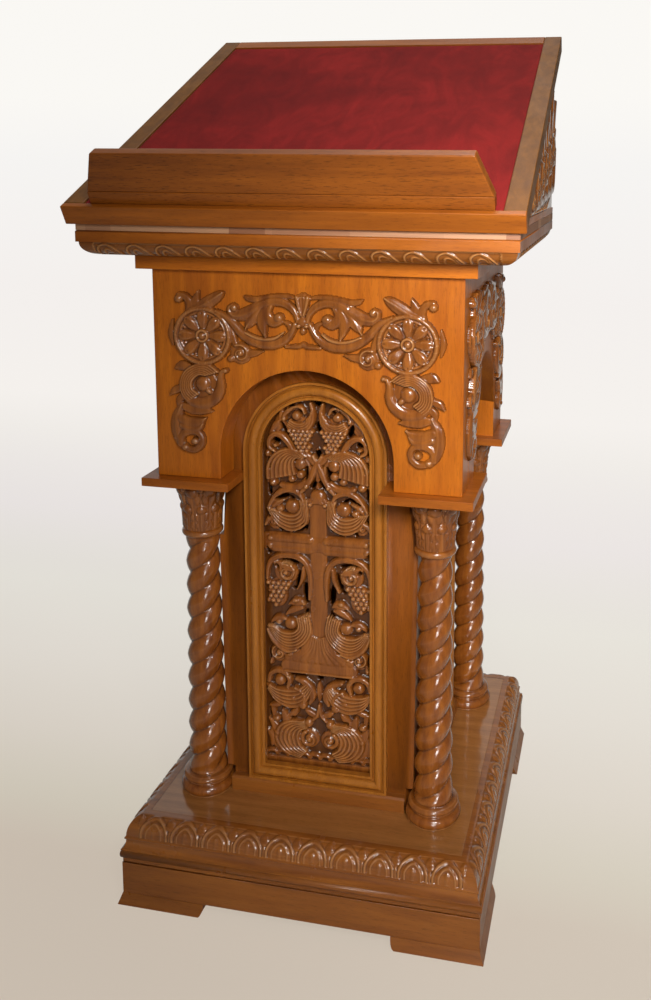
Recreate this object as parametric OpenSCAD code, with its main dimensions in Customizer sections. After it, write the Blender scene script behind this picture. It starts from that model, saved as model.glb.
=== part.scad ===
// Carved wooden lectern: a moulded plinth on bracket feet, a hollow core with arched
// frames and pierced panels, four barley twist columns, an arched upper box and a
// sloping desk with a velvet face and a book stop.
// Millimetres. X runs across the front, Y away from the reader, Z up, floor at Z = 0.

/* [Plinth] */
// Outer half width of the skirting
skirting_half = 259; // [250:1:265]
// Height of the skirting boards
skirting_height = 48; // [36:1:60]
// Thickness of the skirting boards
skirting_thick = 18; // [14:1:22]
// Height of the bracket feet
foot_height = 16; // [10:1:30]
// How far a foot flares out at the floor
foot_flare = 6; // [2:1:10]
// Length of a foot along each side
foot_length = 122; // [90:1:140]
// Thickness of the foot boards
foot_thick = 24; // [18:1:30]
// How far the edge of the base board stands out past the skirting
base_board_reach = 2; // [0:0.5:3]
// Thickness of the base board
base_board_thick = 18.4; // [14:0.2:24]
// Height of the carved plinth moulding
plinth_moulding_height = 44; // [36:1:52]
// Half width of the plinth moulding at its foot
plinth_moulding_half = 260; // [256:1:261]
// Half width of the plinth moulding along its top edge
plinth_moulding_top = 235.5; // [233:0.5:238]
// Half width of the board on top of the plinth
top_board_half = 228; // [222:1:230]
// Thickness of the board on top of the plinth
top_board_thick = 18; // [14:1:22]
// Carved arches along each side of the plinth
plinth_units = 10; // [8:1:12]

/* [Core] */
// Distance of the core's panel faces from the centre
core_half = 150; // [144:1:154]
// Thickness of the core panels
core_thick = 19; // [16:1:22]
// Width of the corner posts inside the core
post_width = 36; // [30:1:42]
// Height of the strips round the foot of the core
core_skirting_height = 22.6; // [18:0.2:28]
// Distance the arched frames and foot strips stand out from the core
frame_proud = 12; // [9:0.5:15]
// Width of the arched frame moulding
frame_width = 25; // [21:1:29]
// Gap between an arched frame and the opening of the upper box round it
frame_gap = 18; // [14:1:22]
// Height of the top of the arched frames above the floor
frame_top = 755; // [740:1:762]
// Cover of the frame over the edge of the carved panel
panel_cover = 4; // [3:0.5:6]
// Thickness of the carved panels
panel_thick = 14; // [12:0.5:17]
// Depth of the carving on the pierced panels
panel_relief = 6; // [4:0.5:8]
// Width of the shaft of the cross
cross_width = 24; // [20:1:28]

/* [Columns] */
// Distance of the column centres from the centre line, across
column_x = 173; // [170:0.5:176]
// Distance of the column centres from the centre line, front to back
column_y = 152; // [149:0.5:155]
// Largest radius of the column foot
column_foot_r = 40; // [38:0.5:42]
// Clearance between the columns and the core cut out round them
column_gap = 2; // [1:0.5:4]
// Height of the turned column foot
column_foot_height = 30; // [26:1:34]
// Radius over the ridges at the foot of the shaft
twist_r = 28; // [25:0.5:30]
// Radius over the ridges at the top of the shaft
twist_top_r = 24; // [22:0.5:25]
// Depth of the grooves of the twist
twist_depth = 6.5; // [4:0.5:8]
// Height of one full turn of a ridge
twist_lead = 72; // [60:1:90]
// Height of the twisted shaft
shaft_height = 365.6; // [340:0.2:390]
// Height of the ring between shaft and capital
ring_height = 11; // [8:1:14]
// Height of the capital
capital_height = 74.4; // [66:0.2:82]
// Radius of the capital at its foot
capital_foot_r = 25; // [23:0.5:27]
// Radius of the capital at its top
capital_top_r = 38; // [36:0.5:42]
// Leaves in each of the two rows on a capital
capital_leaves = 8; // [6:1:9]

/* [Upper box] */
// Half width of the upper box
box_half_x = 217; // [212:1:221]
// Half depth of the upper box
box_half_y = 196; // [192:1:200]
// Height of the upper box
box_height = 292.1; // [280:0.1:304]
// Width of the legs at the foot of the upper box
box_leg = 94; // [90:1:98]
// Height of the top of the arches in the upper box above the floor
arch_top = 779; // [770:1:790]
// How far an impost stands out round its leg
impost_reach = 17; // [12:1:20]
// Thickness of the imposts
impost_thick = 12.1; // [10:0.1:16]
// Thickness of the applied carvings
carving_thick = 10; // [7:0.5:13]

/* [Cornice] */
// How far the fillet board stands out past the box at the sides
fillet_reach_x = 18; // [14:1:22]
// How far the fillet board stands out past the box at front and back
fillet_reach_y = 12; // [9:1:16]
// Thickness of the fillet board
fillet_thick = 20.4; // [16:0.2:24]
// Height of the carved cornice moulding
cornice_moulding_height = 18.2; // [15:0.2:22]
// Width of the boards of the cornice moulding
cornice_moulding_width = 76; // [72:1:82]
// Depth of the hollow cut into the front of the cornice moulding
cornice_hollow = 22; // [18:1:25]
// Distance the cornice board stands out past the side boards of the desk
cornice_reach_x = 3.6; // [2:0.2:6]
// Distance of the cornice board's front edge from the centre line
cornice_front = 255.3; // [250:0.1:260]
// Distance the cornice board stands out past the back board of the desk
cornice_reach_back = 0.4; // [0:0.1:2]
// Thickness of the cornice board
cornice_thick = 15.1; // [12:0.1:20]
// Carved arches along the front of the cornice
cornice_units = 13; // [11:1:15]

/* [Desk] */
// Distance the slab stands out past the side boards of the desk
slab_overhang = 12; // [8:1:16]
// Distance the slab's back end stands out past the back board of the desk
slab_back_overhang = 1; // [0.5:0.1:2]
// Length of the slab along the slope
slab_length = 600; // [590:1:610]
// Thickness of the slab
slab_thick = 26.7; // [24:0.1:30]
// Slope of the slab in degrees
slope = 27.5; // [24:0.5:31]
// Distance of the slab's front top edge from the centre line of the base
slab_front = 274.5; // [270:0.5:278]
// Thickness of the bottom board of the desk
desk_bottom_thick = 12; // [10:0.5:16]
// Distance of the bottom board's front edge from the centre line of the base
desk_bottom_front = 254; // [250:1:255]
// Thickness of the side and back boards of the desk
desk_board_thick = 18; // [15:1:21]
// Distance of the side boards' outer faces from the centre line
desk_side_half = 289; // [286:0.5:290]
// Height of the rail along the foot of each side board
side_rail_height = 10; // [8:0.5:14]
// Distance the side rail stands out
side_rail_proud = 3.5; // [2:0.5:5]
// Width of the wooden border at the sides of the slab
stile_width = 28; // [24:1:34]
// Width of the wooden border along the top of the slab
top_rail_width = 29; // [24:1:34]
// Width of the wooden border along the foot of the slab
front_rail_width = 10; // [8:0.5:10.5]
// Thickness of the velvet
velvet_thick = 3; // [2:0.5:4]
// Depth of the velvet's face below the wood round it
velvet_sink = 1.5; // [1:0.5:2.5]
// Distance of the book stop from the slab's front edge
stop_set = 11; // [11:0.5:14]
// Half length of the book stop
stop_half = 263; // [255:1:268]
// Thickness of the book stop
stop_thick = 16; // [13:0.5:20]
// Height of the strip under the book stop, above the slab
stop_strip_height = 16; // [12:0.5:20]
// Height of the top edge of the book stop, above the slab
stop_height = 70; // [60:1:80]
// How far each end of the book stop slants inwards
stop_slant = 20; // [10:1:30]

/* [Hidden] */
$fn = 64;
FRONT = 0;
RIGHT = 1;
REAR = 2;
LEFT = 3;
SIDES = [FRONT, RIGHT, REAR, LEFT];
CORNERS = [[-1, -1], [1, -1], [1, 1], [-1, 1]];
eps = 0.01;

// Heights above the floor
skirting_z = foot_height;
base_board_z = skirting_z + skirting_height;
moulding_z = base_board_z + base_board_thick;
plinth_z = moulding_z + plinth_moulding_height;
top_board_z = plinth_z - top_board_thick;
shaft_z = plinth_z + column_foot_height;
ring_z = shaft_z + shaft_height;
capital_z = ring_z + ring_height;
impost_z = capital_z + capital_height;
box_z = impost_z + impost_thick;
fillet_z = box_z + box_height;
cornice_moulding_z = fillet_z + fillet_thick;
cornice_z = cornice_moulding_z + cornice_moulding_height;
desk_z = cornice_z + cornice_thick;
desk_floor_z = desk_z + desk_bottom_thick;
core_height = fillet_z - plinth_z;

// The slab rests on the front top edge of the desk's bottom board.
slab_z = desk_floor_z + slab_thick / cos(slope) - (slab_front - desk_bottom_front) * tan(slope);
// The whole lectern is centred front to back between the top of the book stop and
// the slab's rear lower edge, so the base stands this far behind the middle.
overall_front = slab_front - stop_set * cos(slope) + stop_height * sin(slope);
overall_back = slab_length * cos(slope) + slab_thick * sin(slope) - slab_front;
base_y = (overall_front - overall_back) / 2;

slab_half = desk_side_half + slab_overhang;
desk_back = overall_back - slab_back_overhang;
cornice_half_x = desk_side_half + cornice_reach_x;
cornice_back = desk_back + cornice_reach_back;
foot_half = skirting_half + foot_flare;
base_board_half = skirting_half + base_board_reach;
post_out = core_half - core_thick;
front_panel_half = column_x - twist_r - column_gap;
side_panel_half = post_out;
arch_front = box_half_x - box_leg;
arch_side = box_half_y - box_leg;
slab_under_z = slab_z - slab_thick / cos(slope);
velvet_half = slab_half - stile_width;
velvet_length = slab_length - top_rail_width - front_rail_width;
desk_nose = 4;
twist_lobes = 2;
twist_points = 16;
twist_slices = 51;
scroll_step = 30;
// Open joint left at each end of a mitred run
mitre_gap = 0.1;

// Placing
// Moves a piece drawn about the base's own centre into the common frame.
module on_base() translate([0, base_y, 0]) children();

// Turns a piece drawn for the front so that it faces the given side.
module facing(side) rotate([0, 0, 90 * side]) children();

// Stands a drawing up on the plane at the given distance, facing the front.
module upright(distance) translate([0, -distance, 0]) rotate([90, 0, 0]) children();

// Puts a run drawn along X, with its outer edge on Y = 0, on one side of a rectangle.
module along_edge(side, half_x, front, back) {
    middle = (back - front) / 2;
    place = [[0, -front], [half_x, middle], [0, back], [-half_x, middle]];
    translate([place[side][0], place[side][1], 0]) facing(side) children();
}

// Works in the slab: X across, Y up the slope, Z out of its face.
module on_slope() translate([0, base_y - slab_front, slab_z]) rotate([slope, 0, 0]) children();

module both_hands() {
    children();
    mirror([1, 0, 0]) children();
}

// Common shapes
function arc_points(c, r, a0, a1, n) = [for (i = [0:n]) let(a = a0 + (a1 - a0) * i / n)
    [c[0] + r[0] * cos(a), c[1] + r[1] * sin(a)]];

// A run of moulding with both ends mitred: the profile's X is the depth behind the edge.
module mitred_run(profile, length, depth) {
    half = length / 2 - mitre_gap;
    intersection() {
        translate([-length / 2, 0, 0]) rotate([90, 0, 90]) linear_extrude(length) polygon(profile);
        translate([0, 0, -eps]) linear_extrude(desk_floor_z)
            polygon([[-half, 0], [half, 0], [half - depth, depth], [depth - half, depth]]);
    }
}

// A board whose edges all carry the same profile: points of [inset, height].
module edged_board(half_x, half_y, edge) {
    n = len(edge) - 1;
    intersection() {
        rotate([90, 0, 0]) translate([0, 0, -half_y]) linear_extrude(2 * half_y)
            polygon([for (p = edge) [half_x - p[0], p[1]], for (i = [n:-1:0]) [edge[i][0] - half_x, edge[i][1]]]);
        rotate([90, 0, 90]) translate([0, 0, -half_x]) linear_extrude(2 * half_x)
            polygon([for (p = edge) [half_y - p[0], p[1]], for (i = [n:-1:0]) [edge[i][0] - half_y, edge[i][1]]]);
    }
}

// An opening with a round head: half its width, the height of its foot and of its top.
module arch_shape(half, foot, top) {
    translate([0, top - half]) circle(half);
    translate([-half, foot]) square([2 * half, top - half - foot]);
}

// A slot with round ends.
module slot(r, length) {
    circle(r);
    translate([length, 0]) circle(r);
    translate([0, -r]) square([length, 2 * r]);
}

// A pointed leaf that grows along X from the origin.
module leaf(length, width) {
    r = (length * length / 4 + width * width / 4) / width;
    intersection() {
        translate([length / 2, r - width / 2]) circle(r);
        translate([length / 2, width / 2 - r]) circle(r);
    }
}

// A band that winds in from radius r0 to r1 while its width falls from w0 to w1.
module scroll(r0, r1, a0, a1, w0, w1) {
    n = ceil(abs(a1 - a0) / scroll_step);
    function at(i, hand) = let(t = i / n, r = r0 + (r1 - r0) * t + hand * (w0 + (w1 - w0) * t) / 2,
        a = a0 + (a1 - a0) * t) [r * cos(a), r * sin(a)];
    polygon([for (i = [0:n]) at(i, 1), for (i = [n:-1:0]) at(i, -1)]);
}

// A round cushion of the given radius and height.
module dome(r, h) {
    big = (r * r + h * h) / (2 * h);
    intersection() {
        translate([0, 0, h - big]) sphere(big);
        translate([-2 * big, -2 * big, 0]) cube([4 * big, 4 * big, h + 1]);
    }
}

// A curl of leaf: a cushion with a scroll on it that winds in to a bead.
module curl(r, start, rise, hand = 1) {
    dome(r, rise * 0.6);
    linear_extrude(rise) scroll(r * 0.86, r * 0.3, start, start + hand * 480, r * 0.24, r * 0.14);
    dome(r * 0.26, rise * 1.05);
}

// A hanging bunch of grapes, widest at the top.
module grapes(rows, grape_r, rise) {
    for (row = [0:rows - 1]) for (i = [0:rows - row - 1])
        translate([(i - (rows - row - 1) / 2) * grape_r * 1.9, -row * grape_r * 1.6, rise - grape_r * 0.9])
            sphere(grape_r);
}

// Plinth
module foot_leg() {
    inner = foot_half - foot_length;
    rise = 7;
    silhouette = concat([[-foot_half, 0], [-inner, 0]],
        arc_points([-inner, foot_height], [rise, foot_height], 270, 360, 8),
        [[-foot_half, foot_height]]);
    section = [[-foot_half, 0], [-skirting_half, foot_height], [-skirting_half + foot_thick, foot_height],
        [-skirting_half + foot_thick, 0]];
    intersection() {
        rotate([90, 0, 0]) linear_extrude(foot_half) polygon(silhouette);
        rotate([90, 0, 90]) translate([0, 0, -foot_half]) linear_extrude(foot_half) polygon(section);
        rotate([90, 0, 0]) linear_extrude(foot_half + 1)
            polygon([[-foot_half, 0], [0, 0], [0, foot_height], [-skirting_half, foot_height]]);
    }
}

module foot(corner) {
    color("saddlebrown") on_base() mirror([corner[0] > 0 ? 1 : 0, 0, 0]) mirror([0, corner[1] > 0 ? 1 : 0, 0])
        union() {
            foot_leg();
            mirror([1, -1, 0]) foot_leg();
        }
}

module foot_front_left() foot(CORNERS[0]);
module foot_front_right() foot(CORNERS[1]);
module foot_rear_right() foot(CORNERS[2]);
module foot_rear_left() foot(CORNERS[3]);

module skirting_boards() {
    top_arris = 1.5;
    profile = [[0, skirting_z], [0, base_board_z - top_arris], [top_arris, base_board_z],
        [skirting_thick, base_board_z], [skirting_thick, skirting_z]];
    color("peru") on_base() for (side = SIDES)
        along_edge(side, skirting_half, skirting_half, skirting_half)
            mitred_run(profile, 2 * skirting_half, skirting_thick);
}

module plinth_base_board() {
    step = base_board_reach + 1;
    lower = base_board_z + base_board_thick / 3;
    nose = arc_points([step, (lower + moulding_z) / 2], [step, (moulding_z - lower) / 2], 270, 90, 8);
    color("sienna") on_base() edged_board(base_board_half, base_board_half,
        concat([[step, base_board_z], [step, lower - eps]], nose));
}

module plinth_bearers() {
    bearer_width = 40;
    height = top_board_z - moulding_z;
    color("tan") on_base() both_hands()
        translate([post_out - post_width / 2 - bearer_width / 2, -top_board_half, moulding_z])
            cube([bearer_width, 2 * top_board_half, height]);
}

// Quarter round of the plinth moulding, sunk by the given depth.
plinth_neck = 6;
plinth_round_z = 18;
plinth_steps = 4;
function plinth_round(sink) = let(crown = plinth_moulding_half - plinth_moulding_top)
    [for (p = arc_points([crown, moulding_z + plinth_round_z],
        [crown - plinth_neck, plinth_moulding_height - plinth_round_z], 180, 90, plinth_steps))
        [min(p[0] + sink, crown), p[1]]];

// Hollow foot, bead and sunk quarter round of the plinth moulding.
function plinth_profile(sink) = let(bead_r = 2, neck_h = plinth_round_z - bead_r,
    d = plinth_moulding_half - top_board_half)
    concat([[d, moulding_z], [0, moulding_z]],
        arc_points([0, moulding_z + neck_h - bead_r], [plinth_neck, neck_h - bead_r - 1], 270, 360, 4),
        arc_points([plinth_neck, moulding_z + neck_h], [bead_r, bead_r], 260, 100, 4),
        plinth_round(sink), [[d, plinth_z]]);

// Skin of the quarter round out of which the raised carving is cut.
function plinth_skin(depth) = let(raised = plinth_round(0), n = plinth_steps - 1)
    concat([for (i = [0:n]) raised[i]], [for (i = [n:-1:0]) raised[i] + [depth, 0]]);

// Outline of an arch that stands on Z = 0, with its head drawn in straight steps.
module stepped_arch(half, spring, steps) {
    polygon(concat([[half, 0]], arc_points([0, spring], [half, half], 0, 180, steps), [[-half, 0]]));
}

// One carved arch with a tongue inside it.
module plinth_unit(width) {
    band = width * 0.1;
    half = width * 0.43;
    spring = 3;
    translate([0, moulding_z + plinth_round_z + 0.5]) {
        difference() {
            stepped_arch(half, spring, 5);
            translate([0, -1]) stepped_arch(half - band, spring + 1, 5);
        }
        stepped_arch(width * 0.13, plinth_moulding_height * 0.3, 2);
    }
}

module plinth_moulding(side) {
    carve = 2.5;
    skin = 7;
    length = 2 * plinth_moulding_half;
    depth = plinth_moulding_half - top_board_half;
    pitch = 2 * plinth_moulding_top / plinth_units;
    along_edge(side, plinth_moulding_half, plinth_moulding_half, plinth_moulding_half) union() {
        mitred_run(plinth_profile(carve), length, depth);
        intersection() {
            mitred_run(plinth_skin(skin), length, depth);
            translate([0, depth, 0]) rotate([90, 0, 0]) linear_extrude(depth + 1)
                for (i = [0:plinth_units - 1]) translate([(i - (plinth_units - 1) / 2) * pitch, 0])
                    plinth_unit(pitch);
        }
    }
}

module plinth_mouldings() {
    color("saddlebrown") on_base() for (side = SIDES) plinth_moulding(side);
}

module plinth_top_board() {
    color("sienna") on_base() translate([-top_board_half, -top_board_half, top_board_z])
        cube([2 * top_board_half, 2 * top_board_half, top_board_thick]);
}

// Core
function panel_half(side) = side % 2 == 0 ? front_panel_half : side_panel_half;
function arch_half(side) = side % 2 == 0 ? arch_front : arch_side;
function frame_out(side) = arch_half(side) - frame_gap;
function frame_in(side) = frame_out(side) - frame_width;
frame_foot = plinth_z + core_skirting_height;

// Room cut into the core for the columns: wide at the foot and the capital, close along the shaft.
module column_room() {
    for (c = CORNERS) translate([c[0] * column_x, c[1] * column_y, plinth_z]) {
        translate([0, 0, -1]) cylinder(r = column_foot_r + column_gap, h = column_foot_height + column_gap + 1);
        cylinder(r = twist_r + column_gap, h = impost_z - plinth_z);
        translate([0, 0, ring_z - plinth_z - column_gap])
            cylinder(r = capital_top_r + column_gap, h = impost_z - ring_z + column_gap);
    }
}

module core_posts() {
    color("burlywood") on_base() for (c = CORNERS)
        translate([c[0] * (post_out - post_width / 2), c[1] * (post_out - post_width / 2), plinth_z + core_height / 2])
            cube([post_width, post_width, core_height], center = true);
}

module panel_opening(side) {
    arch_shape(frame_in(side) + panel_cover, frame_foot + frame_width - panel_cover,
        frame_top - frame_width + panel_cover);
}

module core_panel(side) {
    color("peru") on_base() difference() {
        facing(side) upright(post_out) linear_extrude(core_thick) difference() {
            translate([-panel_half(side), plinth_z]) square([2 * panel_half(side), core_height]);
            panel_opening(side);
        }
        column_room();
    }
}

module core_panel_front() core_panel(FRONT);
module core_panel_right() core_panel(RIGHT);
module core_panel_rear() core_panel(REAR);
module core_panel_left() core_panel(LEFT);

module core_skirting_strips() {
    chamfer = 3;
    color("peru") on_base() difference() {
        for (side = SIDES) facing(side)
            translate([-panel_half(side), -core_half, 0]) rotate([90, 0, 90])
                linear_extrude(2 * panel_half(side))
                    polygon([[0, plinth_z], [-frame_proud, plinth_z], [-frame_proud, frame_foot - chamfer],
                        [chamfer - frame_proud, frame_foot], [0, frame_foot]]);
        column_room();
    }
}

// Section of the arched frame: fillets at both edges, grooves and a half round between.
function frame_section() = let(w = frame_width, h = frame_proud, r = w * 0.25, edge = w * 0.13)
    concat([[0, 0], [0, h * 0.7], [edge, h * 0.7], [edge + 1, h * 0.4], [w / 2 - r - 1, h * 0.4]],
        arc_points([w / 2, h * 0.5], [r, h * 0.5], 180, 0, 10),
        [[w / 2 + r + 1, h * 0.4], [w - edge - 1, h * 0.4], [w - edge, h * 0.85], [w, h * 0.85], [w, 0]]);

module arch_frame(side) {
    r_in = frame_in(side);
    r_out = frame_out(side);
    centre = frame_top - r_out;
    leg = centre - frame_foot;
    color("goldenrod") on_base() facing(side) upright(core_half) translate([0, centre, 0]) union() {
        rotate_extrude(angle = 180) translate([r_in, 0]) polygon(frame_section());
        both_hands() intersection() {
            translate([r_in, 0, 0]) rotate([90, 0, 0]) linear_extrude(leg) polygon(frame_section());
            linear_extrude(frame_proud)
                polygon([[r_in, 0], [r_out, 0], [r_out, -leg], [r_in, frame_width - leg]]);
        }
        intersection() {
            translate([r_out, frame_width - leg, 0]) rotate([90, 0, -90])
                linear_extrude(2 * r_out) polygon(frame_section());
            linear_extrude(frame_proud)
                polygon([[-r_out, -leg], [r_out, -leg], [r_in, frame_width - leg], [-r_in, frame_width - leg]]);
        }
    }
}

module arch_frame_front() arch_frame(FRONT);
module arch_frame_right() arch_frame(RIGHT);
module arch_frame_rear() arch_frame(REAR);
module arch_frame_left() arch_frame(LEFT);

// Pierced panels
// Curls of vine on the right half: [x, z, radius, angle where the scroll starts].
curls = [[30, 704, 19, 100], [38, 626, 29, 200], [43, 572, 27, 60], [47, 472, 27, 190],
    [43, 392, 27, 60], [57, 300, 20, 250], [22, 216, 21, 20]];
// Small curls and leaf lobes: [x, z, radius].
lobes = [[62, 664, 12], [66, 604, 8], [63, 545, 8], [70, 522, 7], [29, 424, 10], [58, 352, 12],
    [26, 270, 14], [60, 258, 12], [62, 214, 14], [14, 586, 8]];
// Grapes: [x, z] of the top of a bunch.
bunches = [[27, 686], [58, 446]];
// Openings cut through between the vines: [x, z, radius, length, angle].
gaps = [[0, 719, 6, 4, 90], [0, 684, 4, 9, 90], [0, 637, 6, 12, 90], [49, 670, 5, 22, 62],
    [63, 646, 4, 8, -20], [13, 604, 4.5, 26, 95], [74, 616, 3.5, 22, 90], [75, 574, 3, 22, 90],
    [4, 592, 5, 8, -50], [19, 538, 5, 14, 95], [30, 538, 4, 14, -20], [20, 440, 5.5, 30, 82],
    [20, 400, 4, 12, 90], [28, 309, 3.5, 28, 0], [0, 300, 4, 6, 90], [75, 336, 3, 16, 90],
    [75, 494, 3, 12, 90], [75, 420, 3, 14, 90], [42, 242, 4, 10, 30], [32, 712, 3, 4, 0],
    [0, 262, 3.5, 8, 90]];
carved_half = 84;
cross_arm_z = 513;
cross_top = 578;
cross_foot_z = 318;

module cross_shape() {
    w = cross_width / 2;
    arm = 15;
    reach = 72;
    flare = 50;
    flare_h = 60;
    translate([-w, cross_foot_z]) square([2 * w, cross_top - cross_foot_z]);
    translate([-reach, cross_arm_z - arm]) square([2 * reach, 2 * arm]);
    polygon(concat([[-flare, cross_foot_z], [flare, cross_foot_z], [flare, cross_foot_z + 14]],
        arc_points([flare + 4, cross_foot_z + flare_h + 14], [flare - w, flare_h], 260, 180, 8),
        arc_points([-flare - 4, cross_foot_z + flare_h + 14], [flare - w, flare_h], 0, -80, 8),
        [[-flare, cross_foot_z + 14]]));
}

module carved_panel(side) {
    // The side panels are narrower: their vines are drawn closer to the cross.
    squeeze = (frame_in(side) + panel_cover) / carved_half;
    ground = panel_thick - panel_relief;
    color("brown") on_base() facing(side) upright(core_half - panel_thick) union() {
        linear_extrude(ground) difference() {
            panel_opening(side);
            both_hands() for (g = gaps)
                translate([g[0] * squeeze, g[1]]) rotate(g[4]) slot(g[2] * squeeze, g[3] * squeeze);
        }
        translate([0, 0, ground]) both_hands() {
            for (c = curls) translate([c[0] * squeeze, c[1], 0]) curl(c[2] * squeeze, c[3], panel_relief);
            for (l = lobes) translate([l[0] * squeeze, l[1], 0]) dome(l[2] * squeeze, panel_relief * 0.7);
            for (b = bunches) translate([b[0] * squeeze, b[1], 0]) grapes(4, 5 * squeeze, panel_relief);
        }
        translate([0, 0, ground]) linear_extrude(panel_relief * 0.8) intersection() {
            cross_shape();
            panel_opening(side);
        }
    }
}

module carved_panel_front() carved_panel(FRONT);
module carved_panel_right() carved_panel(RIGHT);
module carved_panel_left() carved_panel(LEFT);

module plain_panel_rear() {
    color("brown") on_base() facing(REAR) upright(core_half - panel_thick)
        linear_extrude(panel_thick) panel_opening(REAR);
}

// Columns
// Plan of the twist: two round ridges with a groove between them.
function twist_radius(a) = let(half = twist_lead / twist_lobes / 2,
    bow = (half * half + twist_depth * twist_depth) / (2 * twist_depth),
    off = half * ((a * twist_lobes / 360) - round(a * twist_lobes / 360)) * 2)
    twist_r - bow + sqrt(bow * bow - off * off);

module turned_foot() {
    torus = 8;
    small = 4.5;
    neck = 3;
    rotate_extrude() {
        square([column_foot_r - torus, 2 * torus]);
        translate([column_foot_r - torus, torus]) circle(torus);
        translate([0, 2 * torus]) square([column_foot_r - torus + 2, neck]);
        translate([0, 2 * torus + neck]) square([column_foot_r - torus, 2 * small]);
        translate([column_foot_r - torus, 2 * torus + neck + small]) circle(small);
        square([twist_r, column_foot_height]);
    }
}

module column(corner) {
    step = 360 / twist_points;
    color("chocolate") on_base() translate([corner[0] * column_x, corner[1] * column_y, 0]) union() {
        translate([0, 0, plinth_z]) turned_foot();
        translate([0, 0, shaft_z]) linear_extrude(shaft_height, twist = -360 * shaft_height / twist_lead,
            scale = twist_top_r / twist_r, slices = twist_slices, $fn = twist_points)
            polygon([for (i = [0:twist_points - 1]) twist_radius(i * step) * [cos(i * step), sin(i * step)]]);
        translate([0, 0, ring_z]) rotate_extrude() {
            square([twist_top_r, ring_height]);
            translate([twist_top_r, ring_height / 2]) circle(ring_height / 2);
        }
    }
}

module column_front_left() column(CORNERS[0]);
module column_front_right() column(CORNERS[1]);
module column_rear_right() column(CORNERS[2]);
module column_rear_left() column(CORNERS[3]);

function bell_radius(z) = capital_foot_r + (capital_top_r - capital_foot_r) * pow(z / capital_height, 2.2);

// A ring of leaves: each rises to the given height and curls out at its tip.
module leaf_row(width, height, tip, turn) {
    back = capital_foot_r - 6;
    side = concat([[back, 0]],
        [for (i = [0:6]) let(z = height * i / 6) [bell_radius(z) + 2.5 + tip * pow(i / 6, 4), z]],
        [[back, height]]);
    for (i = [0:capital_leaves - 1]) rotate([0, 0, turn + i * 360 / capital_leaves]) intersection() {
        rotate([90, 0, 0]) translate([0, 0, -width]) linear_extrude(2 * width) polygon(side);
        rotate([90, 0, 90]) linear_extrude(capital_top_r * 2) {
            translate([-width / 2, 0]) square([width, height - width / 2]);
            translate([0, height - width / 2]) circle(width / 2);
        }
    }
}

module capital(corner) {
    lip = 5;
    color("brown") on_base() translate([corner[0] * column_x, corner[1] * column_y, capital_z]) union() {
        rotate_extrude() polygon(concat([[0, 0]],
            [for (i = [0:6]) let(z = (capital_height - lip) * i / 6) [bell_radius(z), z]],
            [[capital_top_r, capital_height - lip], [capital_top_r, capital_height], [0, capital_height]]));
        leaf_row(17, capital_height * 0.5, 5, 0);
        leaf_row(15, capital_height * 0.86, 7, 180 / capital_leaves);
    }
}

module capital_front_left() capital(CORNERS[0]);
module capital_front_right() capital(CORNERS[1]);
module capital_rear_right() capital(CORNERS[2]);
module capital_rear_left() capital(CORNERS[3]);

// Imposts and upper box
module impost(corner) {
    cavetto = 4;
    x0 = arch_front - impost_reach;
    y0 = arch_side - impost_reach;
    w = box_leg + 2 * impost_reach;
    color("peru") on_base() mirror([corner[0] < 0 ? 1 : 0, 0, 0]) mirror([0, corner[1] < 0 ? 1 : 0, 0]) difference() {
        translate([x0 + w / 2, y0 + w / 2, 0]) edged_board(w / 2, w / 2,
            concat([[cavetto, impost_z]], arc_points([0, impost_z], [cavetto, cavetto], 180, 90, 6),
                [[0, box_z]]));
        translate([0, 0, impost_z - 1]) linear_extrude(impost_thick + 2) {
            square([front_panel_half, core_half]);
            square([core_half, side_panel_half]);
            square(post_out);
        }
    }
}

module impost_front_left() impost(CORNERS[0]);
module impost_front_right() impost(CORNERS[1]);
module impost_rear_right() impost(CORNERS[2]);
module impost_rear_left() impost(CORNERS[3]);

// The front and rear boards run the full width; the side boards stand between them.
module box_board(side) {
    across = side % 2 == 0 ? box_half_x : core_half;
    out = side % 2 == 0 ? box_half_y : box_half_x;
    color("peru") on_base() facing(side) upright(core_half) linear_extrude(out - core_half) difference() {
        translate([-across, box_z]) square([2 * across, box_height]);
        arch_shape(arch_half(side), box_z - 1, arch_top);
    }
}

module box_board_front() box_board(FRONT);
module box_board_right() box_board(RIGHT);
module box_board_rear() box_board(REAR);
module box_board_left() box_board(LEFT);

// A rosette: a ring, pointed petals and a boss.
module rosette(r, rise) {
    petals = 8;
    intersection() {
        rotate_extrude() translate([r * 0.88, 0]) circle(r * 0.12);
        translate([-2 * r, -2 * r, 0]) cube([4 * r, 4 * r, r]);
    }
    linear_extrude(rise * 0.7) for (i = [0:petals - 1]) rotate(i * 360 / petals)
        translate([r * 0.12, 0]) leaf(r * 0.66, r * 0.34);
    dome(r * 0.2, rise);
}

// Leaves and scrolls from the middle to one rosette, drawn on its right half.
module crest_low(k) {
    translate([26 * k, 838]) scroll(24 * k, 12 * k, -130, 200, 11 * k, 5 * k);
    translate([6 * k, 811]) rotate(4) leaf(66 * k, 9 * k);
    translate([56 * k, 812]) rotate(22) leaf(54 * k, 15 * k);
    translate([2 * k, 846]) rotate(62) leaf(34 * k, 14 * k);
    translate([22 * k, 866]) rotate(-6) leaf(62 * k, 16 * k);
    translate([88 * k, 800]) scroll(13 * k, 6 * k, 60, 400, 7 * k, 4 * k);
    translate([56 * k, 802]) rotate(-4) leaf(34 * k, 8 * k);
    translate([0, 842]) rotate(90) leaf(34, 12);
}

module crest_high(k) {
    translate([52 * k, 838]) rotate(-100) leaf(30 * k, 12 * k);
    translate([50 * k, 848]) rotate(34) leaf(34 * k, 13 * k);
    translate([72 * k, 866]) rotate(-14) leaf(34 * k, 11 * k);
}

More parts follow.
